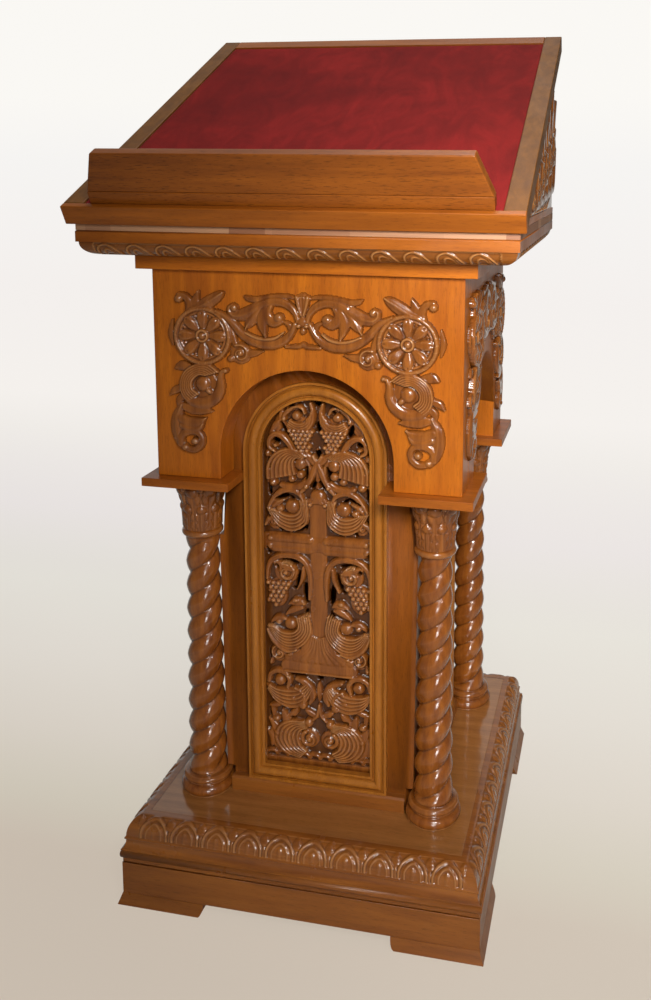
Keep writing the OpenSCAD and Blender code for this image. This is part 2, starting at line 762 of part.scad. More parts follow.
// Leaves over and under a rosette whose centre is at x.
module corner_leaves(x) {
    translate([x - 26, 852]) rotate(70) leaf(32, 11);
    translate([x - 2, 854]) rotate(60) leaf(30, 9);
    translate([x + 26, 842]) scroll(20, 12, -60, 200, 8, 4);
    translate([x + 20, 788]) rotate(-100) leaf(38, 15);
    translate([x - 30, 787]) rotate(-20) leaf(26, 10);
    translate([x + 30, 739]) rotate(-80) leaf(50, 18);
    translate([x + 2, 722]) rotate(-12) leaf(36, 12);
}

// Round forms of the carving: [x, z, radius].
function carving_rounds(x, k) = [[30 * k, 840, 9 * k], [102 * k, 862, 7 * k], [x + 40, 744, 8],
    [x + 20, 700, 14]];
// Scrolled curls under a rosette: [x, z, radius, angle where the scroll starts].
function carving_curls(x) = [[x + 7, 754, 29, 130], [x + 18, 676, 15, 80]];

module carving_half(x, k, rise) {
    rosette_r = 38;
    backing = rise * 0.3;
    linear_extrude(backing) offset(delta = 2, $fn = 24) union() {
        crest_low(k);
        crest_high(k);
        corner_leaves(x);
        for (r = carving_rounds(x, k)) translate([r[0], r[1]]) circle(r[2]);
        for (c = carving_curls(x)) translate([c[0], c[1]]) circle(c[2]);
        translate([x, 821]) circle(rosette_r);
    }
    translate([0, 0, backing]) {
        linear_extrude(rise * 0.4) {
            crest_low(k);
            corner_leaves(x);
        }
        linear_extrude(rise - backing) crest_high(k);
        for (r = carving_rounds(x, k)) translate([r[0], r[1], 0]) dome(r[2], rise * 0.5);
        for (c = carving_curls(x)) translate([c[0], c[1], 0]) curl(c[2], c[3], rise - backing);
        translate([x, 821, 0]) rosette(rosette_r, rise - backing);
    }
}

module box_carving(side) {
    half = side % 2 == 0 ? box_half_x : box_half_y;
    out = side % 2 == 0 ? box_half_y : box_half_x;
    rosette_x = half - 74;
    color("brown") on_base() facing(side) upright(out) both_hands()
        carving_half(rosette_x, (rosette_x - 37) / 106, carving_thick);
}

module box_carving_front() box_carving(FRONT);
module box_carving_right() box_carving(RIGHT);
module box_carving_left() box_carving(LEFT);

// Cornice
module fillet_board() {
    round_over = 3;
    color("peru") on_base() edged_board(box_half_x + fillet_reach_x, box_half_y + fillet_reach_y,
        concat([[0, fillet_z]], [[0, cornice_moulding_z - round_over]],
            arc_points([round_over, cornice_moulding_z - round_over], [round_over, round_over], 170, 90, 4)));
}

// Hollow of the cornice moulding, sunk by the given depth.
cornice_steps = 4;
function cornice_round(sink) = [for (p = arc_points([cornice_hollow, cornice_z - 1],
    [cornice_hollow - 1.5, cornice_moulding_height - 1.5], 270, 180, cornice_steps)) [p[0] + sink, p[1]]];

function cornice_profile(sink) = concat(
    [[cornice_moulding_width, cornice_moulding_z], [cornice_hollow + sink + 1, cornice_moulding_z]],
    cornice_round(sink), [[1.5, cornice_z - 0.8], [1.5, cornice_z], [cornice_moulding_width, cornice_z]]);

// Skin of the hollow out of which the raised carving is cut.
function cornice_skin(depth) = let(raised = cornice_round(0), n = cornice_steps - 1)
    concat([for (i = [1:n]) raised[i]], [for (i = [n:-1:1]) raised[i] + [depth, 0]]);

// A carved arch that leans to the right, with a smaller one inside it.
module cornice_unit(width) {
    h = cornice_moulding_height;
    translate([0, cornice_moulding_z + 1]) {
        difference() {
            polygon([[-0.41 * width, 0], [-0.41 * width, 0.6 * h], [-0.31 * width, 0.78 * h],
                [0.04 * width, 0.78 * h], [0.45 * width, 0]]);
            polygon([[-0.31 * width, -1], [-0.31 * width, 0.5 * h], [-0.25 * width, 0.6 * h],
                [-0.02 * width, 0.6 * h], [0.31 * width, -1]]);
        }
        polygon([[-0.21 * width, 0], [-0.21 * width, 0.32 * h], [-0.15 * width, 0.44 * h],
            [-0.03 * width, 0.44 * h], [0.14 * width, 0]]);
    }
}

module cornice_moulding(side) {
    carve = 2;
    skin = 6;
    length = side % 2 == 0 ? 2 * cornice_half_x : cornice_front + cornice_back;
    count = side % 2 == 0 ? cornice_units : cornice_units - 1;
    pitch = (length - 2 * cornice_hollow) / count;
    along_edge(side, cornice_half_x, cornice_front, cornice_back) union() {
        mitred_run(cornice_profile(carve), length, cornice_moulding_width);
        intersection() {
            mitred_run(cornice_skin(skin), length, cornice_moulding_width);
            translate([0, 2 * cornice_hollow, 0]) rotate([90, 0, 0]) linear_extrude(2 * cornice_hollow)
                for (i = [0:count - 1]) translate([(i - (count - 1) / 2) * pitch, 0]) cornice_unit(pitch);
        }
    }
}

module cornice_mouldings() {
    color("saddlebrown") on_base() for (side = SIDES) cornice_moulding(side);
}

module cornice_board() {
    round_over = 2;
    middle = (cornice_back - cornice_front) / 2;
    color("sienna") on_base() translate([0, middle, 0])
        edged_board(cornice_half_x, (cornice_front + cornice_back) / 2,
            concat([[0, cornice_z]], [[0, desk_z - round_over]],
                arc_points([round_over, desk_z - round_over], [round_over, round_over], 170, 90, 4)));
}

// Desk
// Height of the underside of the slab above a point of the base.
function under_slab(y) = slab_under_z + (y + slab_front) * tan(slope);

module desk_bottom() {
    color("burlywood") on_base() translate([-cornice_half_x, -desk_bottom_front, desk_z])
        cube([2 * cornice_half_x, desk_bottom_front + desk_back, desk_bottom_thick]);
}

// A board that stands on the desk's bottom, cut to the slope along its top.
module sloped_board(x, thick, top) {
    nose = desk_nose - desk_bottom_front;
    knee = min(desk_back, (top - slab_under_z) / tan(slope) - slab_front);
    translate([x, 0, 0]) rotate([90, 0, 90]) linear_extrude(thick)
        polygon([[nose, desk_floor_z], [desk_back, desk_floor_z], [desk_back, min(top, under_slab(desk_back))],
            [knee, min(top, under_slab(knee))], [nose, under_slab(nose)]]);
}

module desk_side() {
    very_high = 2000;
    sloped_board(desk_side_half - desk_board_thick, desk_board_thick, very_high);
    sloped_board(desk_side_half, side_rail_proud, desk_floor_z + side_rail_height);
}

module desk_side_right() color("peru") on_base() union() desk_side();
module desk_side_left() color("peru") on_base() mirror([1, 0, 0]) union() desk_side();

module desk_back_board() {
    half = desk_side_half - desk_board_thick;
    color("peru") on_base() translate([-half, 0, 0]) rotate([90, 0, 90]) linear_extrude(2 * half)
        polygon([[desk_back - desk_board_thick, desk_floor_z], [desk_back, desk_floor_z],
            [desk_back, under_slab(desk_back)], [desk_back - desk_board_thick, under_slab(desk_back - desk_board_thick)]]);
}

// The field above the side rail and under the slab.
module side_field() {
    low = desk_floor_z + side_rail_height;
    knee = (low - slab_under_z) / tan(slope) - slab_front;
    polygon([[knee, low], [desk_back, low], [desk_back, under_slab(desk_back)]]);
}

// Scrolls on the side of the desk: they grow with its height towards the back.
module side_carving() {
    count = 6;
    start = -130;
    end = 215;
    low = desk_floor_z + side_rail_height;
    backing = carving_thick * 0.35;
    places = [for (i = [0:count - 1]) let(y = start + (end - start) * i / (count - 1)) [y, under_slab(y) - low]];
    linear_extrude(backing) side_field();
    translate([0, 0, backing]) {
        linear_extrude(carving_thick * 0.35) intersection() {
            side_field();
            union() {
                for (p = places) {
                    translate([p[0] - p[1] * 0.3, low + 2]) rotate(slope)
                        leaf(min(95, p[1] * 0.95), min(24, p[1] * 0.26));
                    translate([p[0], low + p[1] * 0.42]) rotate(slope + 62) leaf(p[1] * 0.42, min(22, p[1] * 0.2));
                }
                translate([start - 80, low]) leaf(110, 9);
            }
        }
        for (p = places) translate([p[0], low + p[1] * 0.4, 0])
            curl(min(34, p[1] * 0.36), 90, carving_thick - backing);
    }
}

module side_carving_right() {
    color("brown") on_base() facing(RIGHT) upright(desk_side_half) side_carving();
}

module side_carving_left() {
    mirror([1, 0, 0]) side_carving_right();
}

module slab_stile_right() {
    color("peru") on_slope() translate([velvet_half, front_rail_width, -slab_thick])
        cube([stile_width, slab_length - front_rail_width, slab_thick]);
}

module slab_stile_left() {
    mirror([1, 0, 0]) slab_stile_right();
}

module slab_top_rail() {
    color("peru") on_slope() translate([-velvet_half, slab_length - top_rail_width, -slab_thick])
        cube([2 * velvet_half, top_rail_width, slab_thick]);
}

module slab_front_rail() {
    color("peru") on_slope() translate([-slab_half, 0, -slab_thick])
        cube([2 * slab_half, front_rail_width, slab_thick]);
}

module slab_board() {
    color("burlywood") on_slope() translate([-velvet_half, front_rail_width, -slab_thick])
        cube([2 * velvet_half, velvet_length, slab_thick - velvet_sink - velvet_thick]);
}

module velvet() {
    color("darkred") on_slope() translate([-velvet_half, front_rail_width, -velvet_sink - velvet_thick])
        cube([2 * velvet_half, velvet_length, velvet_thick]);
}

module book_stop_strip() {
    color("peru") on_slope() translate([-stop_half, stop_set, -velvet_sink])
        cube([2 * stop_half, stop_thick, stop_strip_height + velvet_sink]);
}

module book_stop() {
    top = stop_half - stop_slant;
    color("burlywood") on_slope() translate([0, stop_set + stop_thick, 0]) rotate([90, 0, 0])
        linear_extrude(stop_thick) polygon([[-stop_half, stop_strip_height], [stop_half, stop_strip_height],
            [top, stop_height], [-top, stop_height]]);
}

foot_front_left();
foot_front_right();
foot_rear_left();
foot_rear_right();
skirting_boards();
plinth_base_board();
plinth_bearers();
plinth_mouldings();
plinth_top_board();
core_posts();
core_skirting_strips();
core_panel_front();
core_panel_right();
core_panel_rear();
core_panel_left();
arch_frame_front();
arch_frame_right();
arch_frame_rear();
arch_frame_left();
carved_panel_front();
carved_panel_right();
plain_panel_rear();
carved_panel_left();
column_front_left();
column_front_right();
column_rear_left();
column_rear_right();
capital_front_left();
capital_front_right();
capital_rear_left();
capital_rear_right();
impost_front_left();
impost_front_right();
impost_rear_left();
impost_rear_right();
box_board_front();
box_board_right();
box_board_rear();
box_board_left();
box_carving_front();
box_carving_right();
box_carving_left();
fillet_board();
cornice_mouldings();
cornice_board();
desk_bottom();
desk_side_left();
desk_side_right();
desk_back_board();
side_carving_left();
side_carving_right();
slab_stile_left();
slab_stile_right();
slab_top_rail();
slab_front_rail();
slab_board();
velvet();
book_stop_strip();
book_stop();
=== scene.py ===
"""Looks of the carved lectern: carved reliefs, twisted columns, velvet, varnished wood, light and camera."""

import math

import bmesh
import bpy
import numpy as np
from mathutils import Matrix, Vector


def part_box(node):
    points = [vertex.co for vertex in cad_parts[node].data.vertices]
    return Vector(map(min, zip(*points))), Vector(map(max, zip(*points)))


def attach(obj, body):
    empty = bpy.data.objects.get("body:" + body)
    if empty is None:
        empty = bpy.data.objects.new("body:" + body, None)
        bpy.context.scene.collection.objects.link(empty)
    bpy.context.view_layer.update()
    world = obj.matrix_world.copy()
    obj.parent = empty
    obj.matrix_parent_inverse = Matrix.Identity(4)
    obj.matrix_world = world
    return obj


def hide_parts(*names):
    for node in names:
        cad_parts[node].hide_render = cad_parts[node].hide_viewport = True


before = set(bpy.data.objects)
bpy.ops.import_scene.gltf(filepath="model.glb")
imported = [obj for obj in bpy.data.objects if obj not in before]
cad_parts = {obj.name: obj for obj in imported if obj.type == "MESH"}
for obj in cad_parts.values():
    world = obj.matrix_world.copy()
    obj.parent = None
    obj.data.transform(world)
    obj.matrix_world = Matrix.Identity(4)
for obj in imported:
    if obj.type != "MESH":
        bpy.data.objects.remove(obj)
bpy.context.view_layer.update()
MM = 0.001
SIDES = ("front", "right", "rear", "left")
CORNERS = ("front_left", "front_right", "rear_left", "rear_right")

base_low, base_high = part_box("plinth_base_board")
BASE_Y = (base_low[1] + base_high[1]) / 2 / MM      # the base stands this far behind the middle of the box


def extent(node, axis):
    """Lowest and highest coordinate of a node along an axis, in mm."""
    low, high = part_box(node)
    return low[axis] / MM, high[axis] / MM


# Materials

class Graph:
    """A new material with a Principled shader, and short calls for its nodes."""

    def __init__(self, name):
        self.material = bpy.data.materials.new(name)
        self.material.use_nodes = True
        self.tree = self.material.node_tree
        self.tree.nodes.clear()
        self.out = self.tree.nodes.new("ShaderNodeOutputMaterial")
        self.bsdf = self.tree.nodes.new("ShaderNodeBsdfPrincipled")
        self.tree.links.new(self.bsdf.outputs[0], self.out.inputs[0])
        self.coord = self.tree.nodes.new("ShaderNodeTexCoord").outputs["Object"]

    def give(self, node, inputs):
        """Gives each named input of a node a number, a vector, a colour or a link."""
        for key, value in inputs.items():
            socket = node.inputs[key]
            if isinstance(value, bpy.types.NodeSocket):
                self.tree.links.new(value, socket)
            elif isinstance(value, tuple):
                socket.default_value = (value + (1.0,))[:len(socket.default_value)]
            else:
                socket.default_value = value

    def node(self, kind, inputs, **settings):
        """Adds a node and returns its outputs."""
        node = self.tree.nodes.new("ShaderNode" + kind)
        for key, value in settings.items():
            setattr(node, key, value)
        self.give(node, inputs)
        return node.outputs

    def mapped(self, scale, rotation=(0, 0, 0), shift=(0, 0, 0)):
        return self.node("Mapping", {"Vector": self.coord, "Scale": scale, "Rotation": rotation,
                                     "Location": shift})[0]

    def noise(self, vector, scale, detail=4, rough=0.5, distortion=0):
        return self.node("TexNoise", {"Vector": vector, "Scale": scale, "Detail": detail, "Roughness": rough,
                                      "Distortion": distortion})[0]

    def ramp(self, value, stops):
        """Turns a value into colours or greys, by rows of (place, colour or grey)."""
        node = self.tree.nodes.new("ShaderNodeValToRGB")
        while len(node.color_ramp.elements) < len(stops):
            node.color_ramp.elements.new(0.5)
        for element, (at, tone) in zip(node.color_ramp.elements, stops):
            element.position = at
            element.color = (*tone, 1) if isinstance(tone, tuple) else (tone, tone, tone, 1)
        self.give(node, {0: value})
        return node.outputs[0]

    def mix(self, fac, a, b):
        return self.node("Mix", {"Factor": fac, 6: a, 7: b}, data_type="RGBA")[2]

    def span(self, value, low, high, out_low, out_high):
        return self.node("MapRange", {"Value": value, "From Min": low, "From Max": high, "To Min": out_low,
                                      "To Max": out_high})[0]

    def math(self, kind, a, b):
        return self.node("Math", {0: a, 1: b}, operation=kind)[0]

    def blend(self, a, share, b, other):
        """share of a and other of b, added up."""
        return self.math("ADD", self.math("MULTIPLY", a, share), self.math("MULTIPLY", b, other))

    def attribute(self, name):
        return self.node("Attribute", {}, attribute_name=name)["Fac"]

    def bump(self, height, strength, distance):
        return self.node("Bump", {"Strength": strength, "Distance": distance, "Height": height})[0]


GRAIN_AXES = {"x": (1, 12, 12), "y": (12, 1, 12), "z": (12, 12, 1)}
WAYS = {"x": "across", "y": "deep", "z": "upright"}
RIM_WEAR_AND_HIGHLIGHT = (0.56, 0.26, 0.085)       # worn edges of the carvings, also a painted highlight on their ridges


def scaled(values, factor):
    return tuple(value * factor for value in values)


def wood(name, light, dark, grain="z", rough=(0.28, 0.44), coat=0.1, coat_rough=0.14, figure=0.5, cavity=False,
         turn=(0, 0, 0), pores=0.35, bump=0.25, shine=0.34):
    """Varnished wood: streaks along the grain, slow colour drift, pores, and stain with painted shade in
    hollows.
    """
    g = Graph(name)
    stretch = GRAIN_AXES[grain]
    streaks = g.noise(g.mapped(stretch, turn), 7, 8, 0.6, 0.3)
    bands = g.noise(g.mapped(scaled(stretch, 0.55), turn, (0.31, 0.17, 0.05)), 2.6, 3, 0.5, 0.9)
    middle = tuple((a + b) / 2 for a, b in zip(light, dark))
    colour = g.ramp(g.blend(streaks, 1 - 0.6 * figure, bands, 0.6 * figure),
                    [(0.34, dark), (0.50, middle), (0.64, light)])
    drift = g.noise(g.coord, 3.2, 3, 0.5)
    colour = g.mix(g.span(drift, 0.38, 0.68, 0, 0.25), colour, scaled(dark, 0.7))
    fine = g.noise(g.mapped(scaled(stretch, 9), turn), 9, 3, 0.6)
    pore_mask = g.ramp(fine, [(0.56, 0), (0.66, 1)])
    colour = g.mix(g.math("MULTIPLY", pore_mask, pores), colour, scaled(dark, 0.35))
    # Stain and painted shade darken the hollows; wear and a painted highlight lighten the crests.
    if cavity:
        colour = g.mix(g.span(g.attribute("hollow"), 0.1, 1, 0, 0.85), colour, scaled(dark, 0.18))
        colour = g.mix(g.span(g.attribute("crest"), 0.12, 0.7, 0, 0.65), colour, RIM_WEAR_AND_HIGHLIGHT)
    smear = g.noise(g.coord, 14, 4, 0.6)
    g.give(g.bsdf, {"Base Color": colour, "Roughness": g.span(smear, 0.3, 0.7, *rough),
                    "Specular IOR Level": shine, "Coat Weight": coat, "Coat Roughness": coat_rough,
                    "Normal": g.bump(g.blend(fine, 0.5, streaks, 0.5), bump, 0.0005)})
    return g.material


def woods(name, axes, *tones, **looks):
    """The same wood once for each direction of its grain."""
    return [wood(name + "_" + WAYS[axis], *tones, axis, **looks) for axis in axes]


def velvet_cloth():
    g = Graph("velvet_red")
    brushed = g.noise(g.mapped((1, 1.6, 1)), 3.2, 5, 0.6, 0.8)
    marks = g.noise(g.mapped((3, 1.2, 1), shift=(0.2, 0.7, 0)), 7, 6, 0.65, 1.5)
    colour = g.ramp(g.blend(brushed, 0.55, marks, 0.45),
                    [(0.34, (0.125, 0.008, 0.008)), (0.50, (0.20, 0.011, 0.01)), (0.66, (0.31, 0.016, 0.014))])
    lint = g.ramp(g.noise(g.coord, 900, 2, 0.5), [(0.66, 0), (0.72, 1)])
    colour = g.mix(g.math("MULTIPLY", lint, 0.2), colour, (0.42, 0.09, 0.07))
    pile = g.noise(g.coord, 1600, 2, 0.7)
    height = g.math("ADD", pile, g.math("MULTIPLY", marks, 2))
    g.give(g.bsdf, {"Base Color": colour, "Roughness": 0.9, "Specular IOR Level": 0.15,
                    "Sheen Weight": 0.18, "Sheen Roughness": 0.45, "Sheen Tint": (0.75, 0.12, 0.10),
                    "Normal": g.bump(height, 0.5, 0.0006)})
    return g.material


def raw_ply():
    """Bare edge of a board glued up from blocks: soft streaks, each block with its own tone."""
    g = Graph("raw_ply")
    streaks = g.noise(g.mapped((4, 4, 120)), 2, 3, 0.5)
    blocks = g.node("TexVoronoi", {"Scale": 11, "Vector": g.mapped((1, 1, 0.02))}, distance="CHEBYCHEV")
    tone = g.node("SeparateColor", {0: blocks["Color"]})[0]
    colour = g.ramp(g.blend(streaks, 0.45, tone, 0.55),
                    [(0.25, (0.30, 0.125, 0.06)), (0.5, (0.42, 0.20, 0.105)), (0.75, (0.54, 0.29, 0.155))])
    g.give(g.bsdf, {"Base Color": colour, "Roughness": g.span(streaks, 0.3, 0.7, 0.45, 0.7),
                    "Normal": g.bump(streaks, 0.2, 0.0003)})
    return g.material


SLOPE = math.radians(27.5)      # of the slab
GLOSS = dict(rough=(0.18, 0.3), coat=0.8, coat_rough=0.07, cavity=True, pores=0.2)

# Each wood has a light and a dark tone.
CASE_Z, CASE_X, CASE_Y = woods("case_wood", "zxy", (0.60, 0.172, 0.01), (0.36, 0.088, 0.006))
TRIM_X, TRIM_Y = woods("trim_wood", "xy", (0.46, 0.13, 0.011), (0.28, 0.07, 0.006))
CORE_Z, = woods("core_wood", "z", (0.32, 0.09, 0.008), (0.18, 0.046, 0.005))
PLINTH_X, PLINTH_Y = woods("plinth_wood", "xy", (0.36, 0.118, 0.018), (0.22, 0.065, 0.011), rough=(0.26, 0.4),
                           coat=0.2)
# The top's paler, greyer tones are partly a painted reflection of the pale surroundings.
GLOSSY_TOP = wood("plinth_top_wood", (0.48, 0.195, 0.05), (0.31, 0.122, 0.032), "x", rough=(0.14, 0.24),
                  coat=0.8, coat_rough=0.05, shine=0.5)
FRAME = wood("frame_wood", (0.50, 0.18, 0.022), (0.32, 0.104, 0.012), "z", rough=(0.25, 0.4), coat=0.2)
SLAB_X = wood("slab_wood_across", (0.44, 0.123, 0.009), (0.25, 0.064, 0.005), "x", rough=(0.34, 0.5),
              coat=0.05)
SLAB_S = wood("slab_wood_sloped", (0.26, 0.10, 0.014), (0.15, 0.054, 0.008), "y", rough=(0.42, 0.56), coat=0,
              turn=(-SLOPE, 0, 0), shine=0.25)
STOP = wood("stop_oak", (0.41, 0.116, 0.01), (0.205, 0.052, 0.006), "x", rough=(0.34, 0.46), coat=0.05,
            figure=0.8, pores=0.7, bump=0.5)
CARVED = wood("carved_wood", (0.37, 0.118, 0.018), (0.17, 0.046, 0.008), "z", figure=0.25, bump=0.35, **GLOSS)
TURNED = wood("turned_wood", (0.38, 0.118, 0.016), (0.20, 0.052, 0.008), "z", figure=0.15, bump=0.3,
              **dict(GLOSS, rough=(0.18, 0.28), coat=0.9))
CARVED_PLINTH = wood("carved_plinth", (0.42, 0.137, 0.018), (0.21, 0.06, 0.01), "x", figure=0.3, **GLOSS)
CARVED_CORNICE = wood("carved_cornice", (0.34, 0.108, 0.014), (0.18, 0.052, 0.008), "x", figure=0.3,
                      **dict(GLOSS, rough=(0.24, 0.36), coat=0.4, coat_rough=0.14))
PANEL_PLAIN = wood("plain_panel", (0.46, 0.17, 0.04), (0.27, 0.085, 0.02), "z", rough=(0.35, 0.5), coat=0.2,
                   figure=0.9)
INSIDE = wood("inside_wood", (0.06, 0.028, 0.012), (0.025, 0.012, 0.006), "z", rough=(0.7, 0.85), coat=0)
PLY = raw_ply()
VELVET = velvet_cloth()


# Mesh helpers

def add_mesh(name, verts, faces, mat, replaces, tones=()):
    """Makes a piece in metres from points in mm, rides it on the body and sets its material. tones holds how
    much each point is a hollow and how much a crest."""
    mesh = bpy.data.meshes.new(name)
    verts = np.asarray(verts, dtype=np.float64).reshape(-1, 3) * MM
    mesh.vertices.add(len(verts))
    mesh.vertices.foreach_set("co", verts.ravel())
    mesh.loops.add(faces.size)
    mesh.loops.foreach_set("vertex_index", faces.ravel())
    mesh.polygons.add(len(faces))
    mesh.polygons.foreach_set("loop_start", np.arange(0, faces.size, faces.shape[1]))
    mesh.polygons.foreach_set("use_smooth", np.full(len(faces), True))
    mesh.update(calc_edges=True)
    mesh.validate()
    for key, values in zip(("hollow", "crest"), tones):
        layer = mesh.attributes.new(key, "FLOAT", "POINT")
        layer.data.foreach_set("value", np.asarray(values, dtype=np.float32).ravel())
    mesh.materials.append(mat)
    piece = bpy.data.objects.new(name, mesh)
    bpy.context.scene.collection.objects.link(piece)
    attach(piece, "root")
    if replaces:
        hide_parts(*replaces)
    return piece


def grid_faces(rows, columns, keep=None, closed=False):
    """Quads of a grid of points, row by row; keep marks the points that exist."""
    index = np.arange(rows * columns).reshape(rows, columns)
    if closed:
        index = np.hstack([index, index[:, :1]])
    quads = np.stack([index[:-1, :-1], index[:-1, 1:], index[1:, 1:], index[1:, :-1]], -1).reshape(-1, 4)
    return quads if keep is None else quads[keep.ravel()[quads].any(axis=1)]


def blur(field, passes):
    out = field.copy()
    for _ in range(passes):
        p = np.pad(out, 1, mode="edge")
        out = (p[:-2, 1:-1] + p[2:, 1:-1] + p[1:-1, :-2] + p[1:-1, 2:] + 4 * out) / 8
    return out


def smooth(values, parts=5):
    """A curve through all the given values (Catmull-Rom), with each span cut into parts."""
    v = np.asarray(values, float)
    p = np.concatenate([2 * v[:1] - v[1:2], v, 2 * v[-1:] - v[-2:-1]])
    t = (np.arange(parts) / parts).reshape((-1,) + (1,) * (v.ndim - 1))
    spans = [0.5 * (2 * b + (c - a) * t + (2 * a - 5 * b + 4 * c - d) * t ** 2
                    + (3 * b - a - 3 * c + d) * t ** 3) for a, b, c, d in zip(p, p[1:], p[2:], p[3:])]
    return np.concatenate(spans + [v[-1:]])


def even(points, count=None, step=1):
    """A line of points as evenly spaced ones: count of them, or about one every step."""
    pts = np.asarray(points, float)
    along = np.concatenate([[0], np.cumsum(np.hypot(*np.diff(pts, axis=0).T))])
    t = np.linspace(0, along[-1], count or max(2, int(round(along[-1] / step)) + 1))
    return np.stack([np.interp(t, along, pts[:, 0]), np.interp(t, along, pts[:, 1])], -1)


def arc(cx, cz, rx, rz, a0, a1, n):
    """n points of an ellipse, from one angle in degrees to another."""
    a = np.radians(np.linspace(a0, a1, n))
    return np.stack([cx + rx * np.cos(a), cz + rz * np.sin(a)], -1)


def hollows(height, passes, reach, ground=None):
    """How far each point lies below (hollow) or above (crest) its surroundings, from 0 to 1.
    What drops below the ground doesn't count for the crests, so that only ridges stand out."""
    hollow = np.clip((blur(height, passes) - height) / reach, 0, 1)
    filled = height if ground is None else np.maximum(height, ground)
    return hollow, np.clip((filled - blur(filled, passes)) / reach, 0, 1)


# Relief carving

def each(tool, *cuts):
    """Makes one cut with the tool for every row of its arguments. Cuts only raise a relief, each up to its own
    height, so their order doesn't matter."""
    for cut in cuts:
        tool(*cut)


class Relief:
    """A height field over a flat field, in mm: strokes, curls and mounds are carved into it."""

    def __init__(self, u0, u1, v0, v1, step, ground):
        self.u = np.arange(u0, u1 + step / 2, step)
        self.v = np.arange(v0, v1 + step / 2, step)
        self.U, self.V = np.meshgrid(self.u, self.v)
        self.H = np.full(self.U.shape, float(ground))
        self.step = step

    def window(self, u0, u1, v0, v1):
        i0, i1 = np.searchsorted(self.v, [v0, v1])
        j0, j1 = np.searchsorted(self.u, [u0, u1])
        return slice(max(i0, 0), i1), slice(max(j0, 0), j1)

    def raise_to(self, win, height, inside):
        target = self.H[win]
        self.H[win] = np.where(inside, np.maximum(target, height), target)

    def ellipse(self, win, u, v, ru, rv, turn):
        """Squared distance of each point from (u, v), 1 at the rim of an ellipse that is turned in degrees."""
        c, s = math.cos(math.radians(turn)), math.sin(math.radians(turn))
        a = ((self.U[win] - u) * c + (self.V[win] - v) * s) / ru
        b = (-(self.U[win] - u) * s + (self.V[win] - v) * c) / rv
        return a * a + b * b

    def stroke(self, points, widths, heights, foot=2.0, flutes=0, depth=1.0, power=0.5):
        """A rounded rib along a line of points, from its foot up to its crown. widths are half widths; short
        lines are smoothed; flutes are grooves of the given depth along it."""
        pts = np.asarray(points, float)
        w, h = (np.broadcast_to(np.asarray(value, float), len(pts)) for value in (widths, heights))
        if 3 <= len(pts) <= 12:
            pts, w, h = smooth(pts), np.maximum(smooth(w), 0.3), smooth(h)
        reach = w.max()
        low, high = pts.min(axis=0) - reach, pts.max(axis=0) + reach
        win = self.window(low[0], high[0], low[1], high[1])
        U, V = self.U[win], self.V[win]
        if U.size == 0:
            return
        best = np.full(U.shape, 1e9)
        wide = np.ones(U.shape)
        crown = np.zeros(U.shape)
        side = np.zeros(U.shape)
        for k in range(len(pts) - 1):
            a, d = pts[k], pts[k + 1] - pts[k]
            t = np.clip(((U - a[0]) * d[0] + (V - a[1]) * d[1]) / max(d @ d, 1e-9), 0, 1)
            du, dv = U - a[0] - t * d[0], V - a[1] - t * d[1]
            width = w[k] + (w[k + 1] - w[k]) * t
            ratio = np.hypot(du, dv) / np.maximum(width, 0.05)
            closer = ratio < best
            best = np.where(closer, ratio, best)
            wide = np.where(closer, width, wide)
            crown = np.where(closer, h[k] + (h[k + 1] - h[k]) * t, crown)
            side = np.where(closer, np.sign(d[0] * dv - d[1] * du), side)
        height = foot + (crown - foot) * np.power(np.clip(1 - best ** 2, 0, 1), power)
        if flutes:
            height = height - depth * (0.5 - 0.5 * np.cos(math.pi * flutes * (side * best + 1))) * (wide > 1.2)
        self.raise_to(win, height, best < 1)

    def mound(self, u, v, ru, rv, height, foot=2.0, turn=0.0, power=0.5):
        reach = max(ru, rv)
        win = self.window(u - reach, u + reach, v - reach, v + reach)
        r2 = self.ellipse(win, u, v, ru, rv, turn)
        self.raise_to(win, foot + (height - foot) * np.power(np.clip(1 - r2, 0, 1), power), r2 < 1)

    def curl(self, u, v, r, start, turns, hand, height, foot, flutes, eye):
        """A leaf that winds in to an eye: a tapering fluted spiral rib over a low cushion. It starts at an
        angle in degrees and winds left (1) or right (-1); the eye is a share of its radius r."""
        self.mound(u, v, r * 0.98, r * 0.98, foot + 1.2, foot)
        t = np.linspace(0, 1, int(40 * turns))
        angle = np.radians(start) + hand * t * turns * 2 * math.pi
        radius = r * (0.80 - 0.60 * t)
        pts = np.stack([u + radius * np.cos(angle), v + radius * np.sin(angle)], -1)
        self.stroke(pts, r * (0.24 - 0.12 * t), height - 1.5 * t * (1 - t) * 2, foot, flutes, 1.3)
        self.mound(u, v, r * eye, r * eye, height + 0.4, foot)

    def shell(self, inner, outer, ribs, height, depth, narrow):
        """A fluted leaf between two lines of points: narrow ribs with hollow flutes between them. narrow says
        how wide they still are at the inner and the outer end."""
        count = 24
        a, b = even(smooth(inner), count), even(smooth(outer), count)
        ends = np.interp(np.linspace(0, 1, count), [0, 0.3, 0.7, 1], [narrow[0], 1, 1, narrow[1]])
        gap = np.hypot(*(b - a).T) / (ribs - 1)
        for share in np.linspace(0, 1, 2 * ribs - 1):
            base = height - depth + 1.2 - 2.2 * (share - 0.4) ** 2
            self.stroke(a + (b - a) * share, gap * 0.5 * ends + 0.5, base, base - 0.8)
        for share in np.linspace(0, 1, ribs):
            top = height - 2.2 * (share - 0.4) ** 2
            self.stroke(a + (b - a) * share, (gap * 0.42 + 0.7) * ends, top, height - depth, power=1)

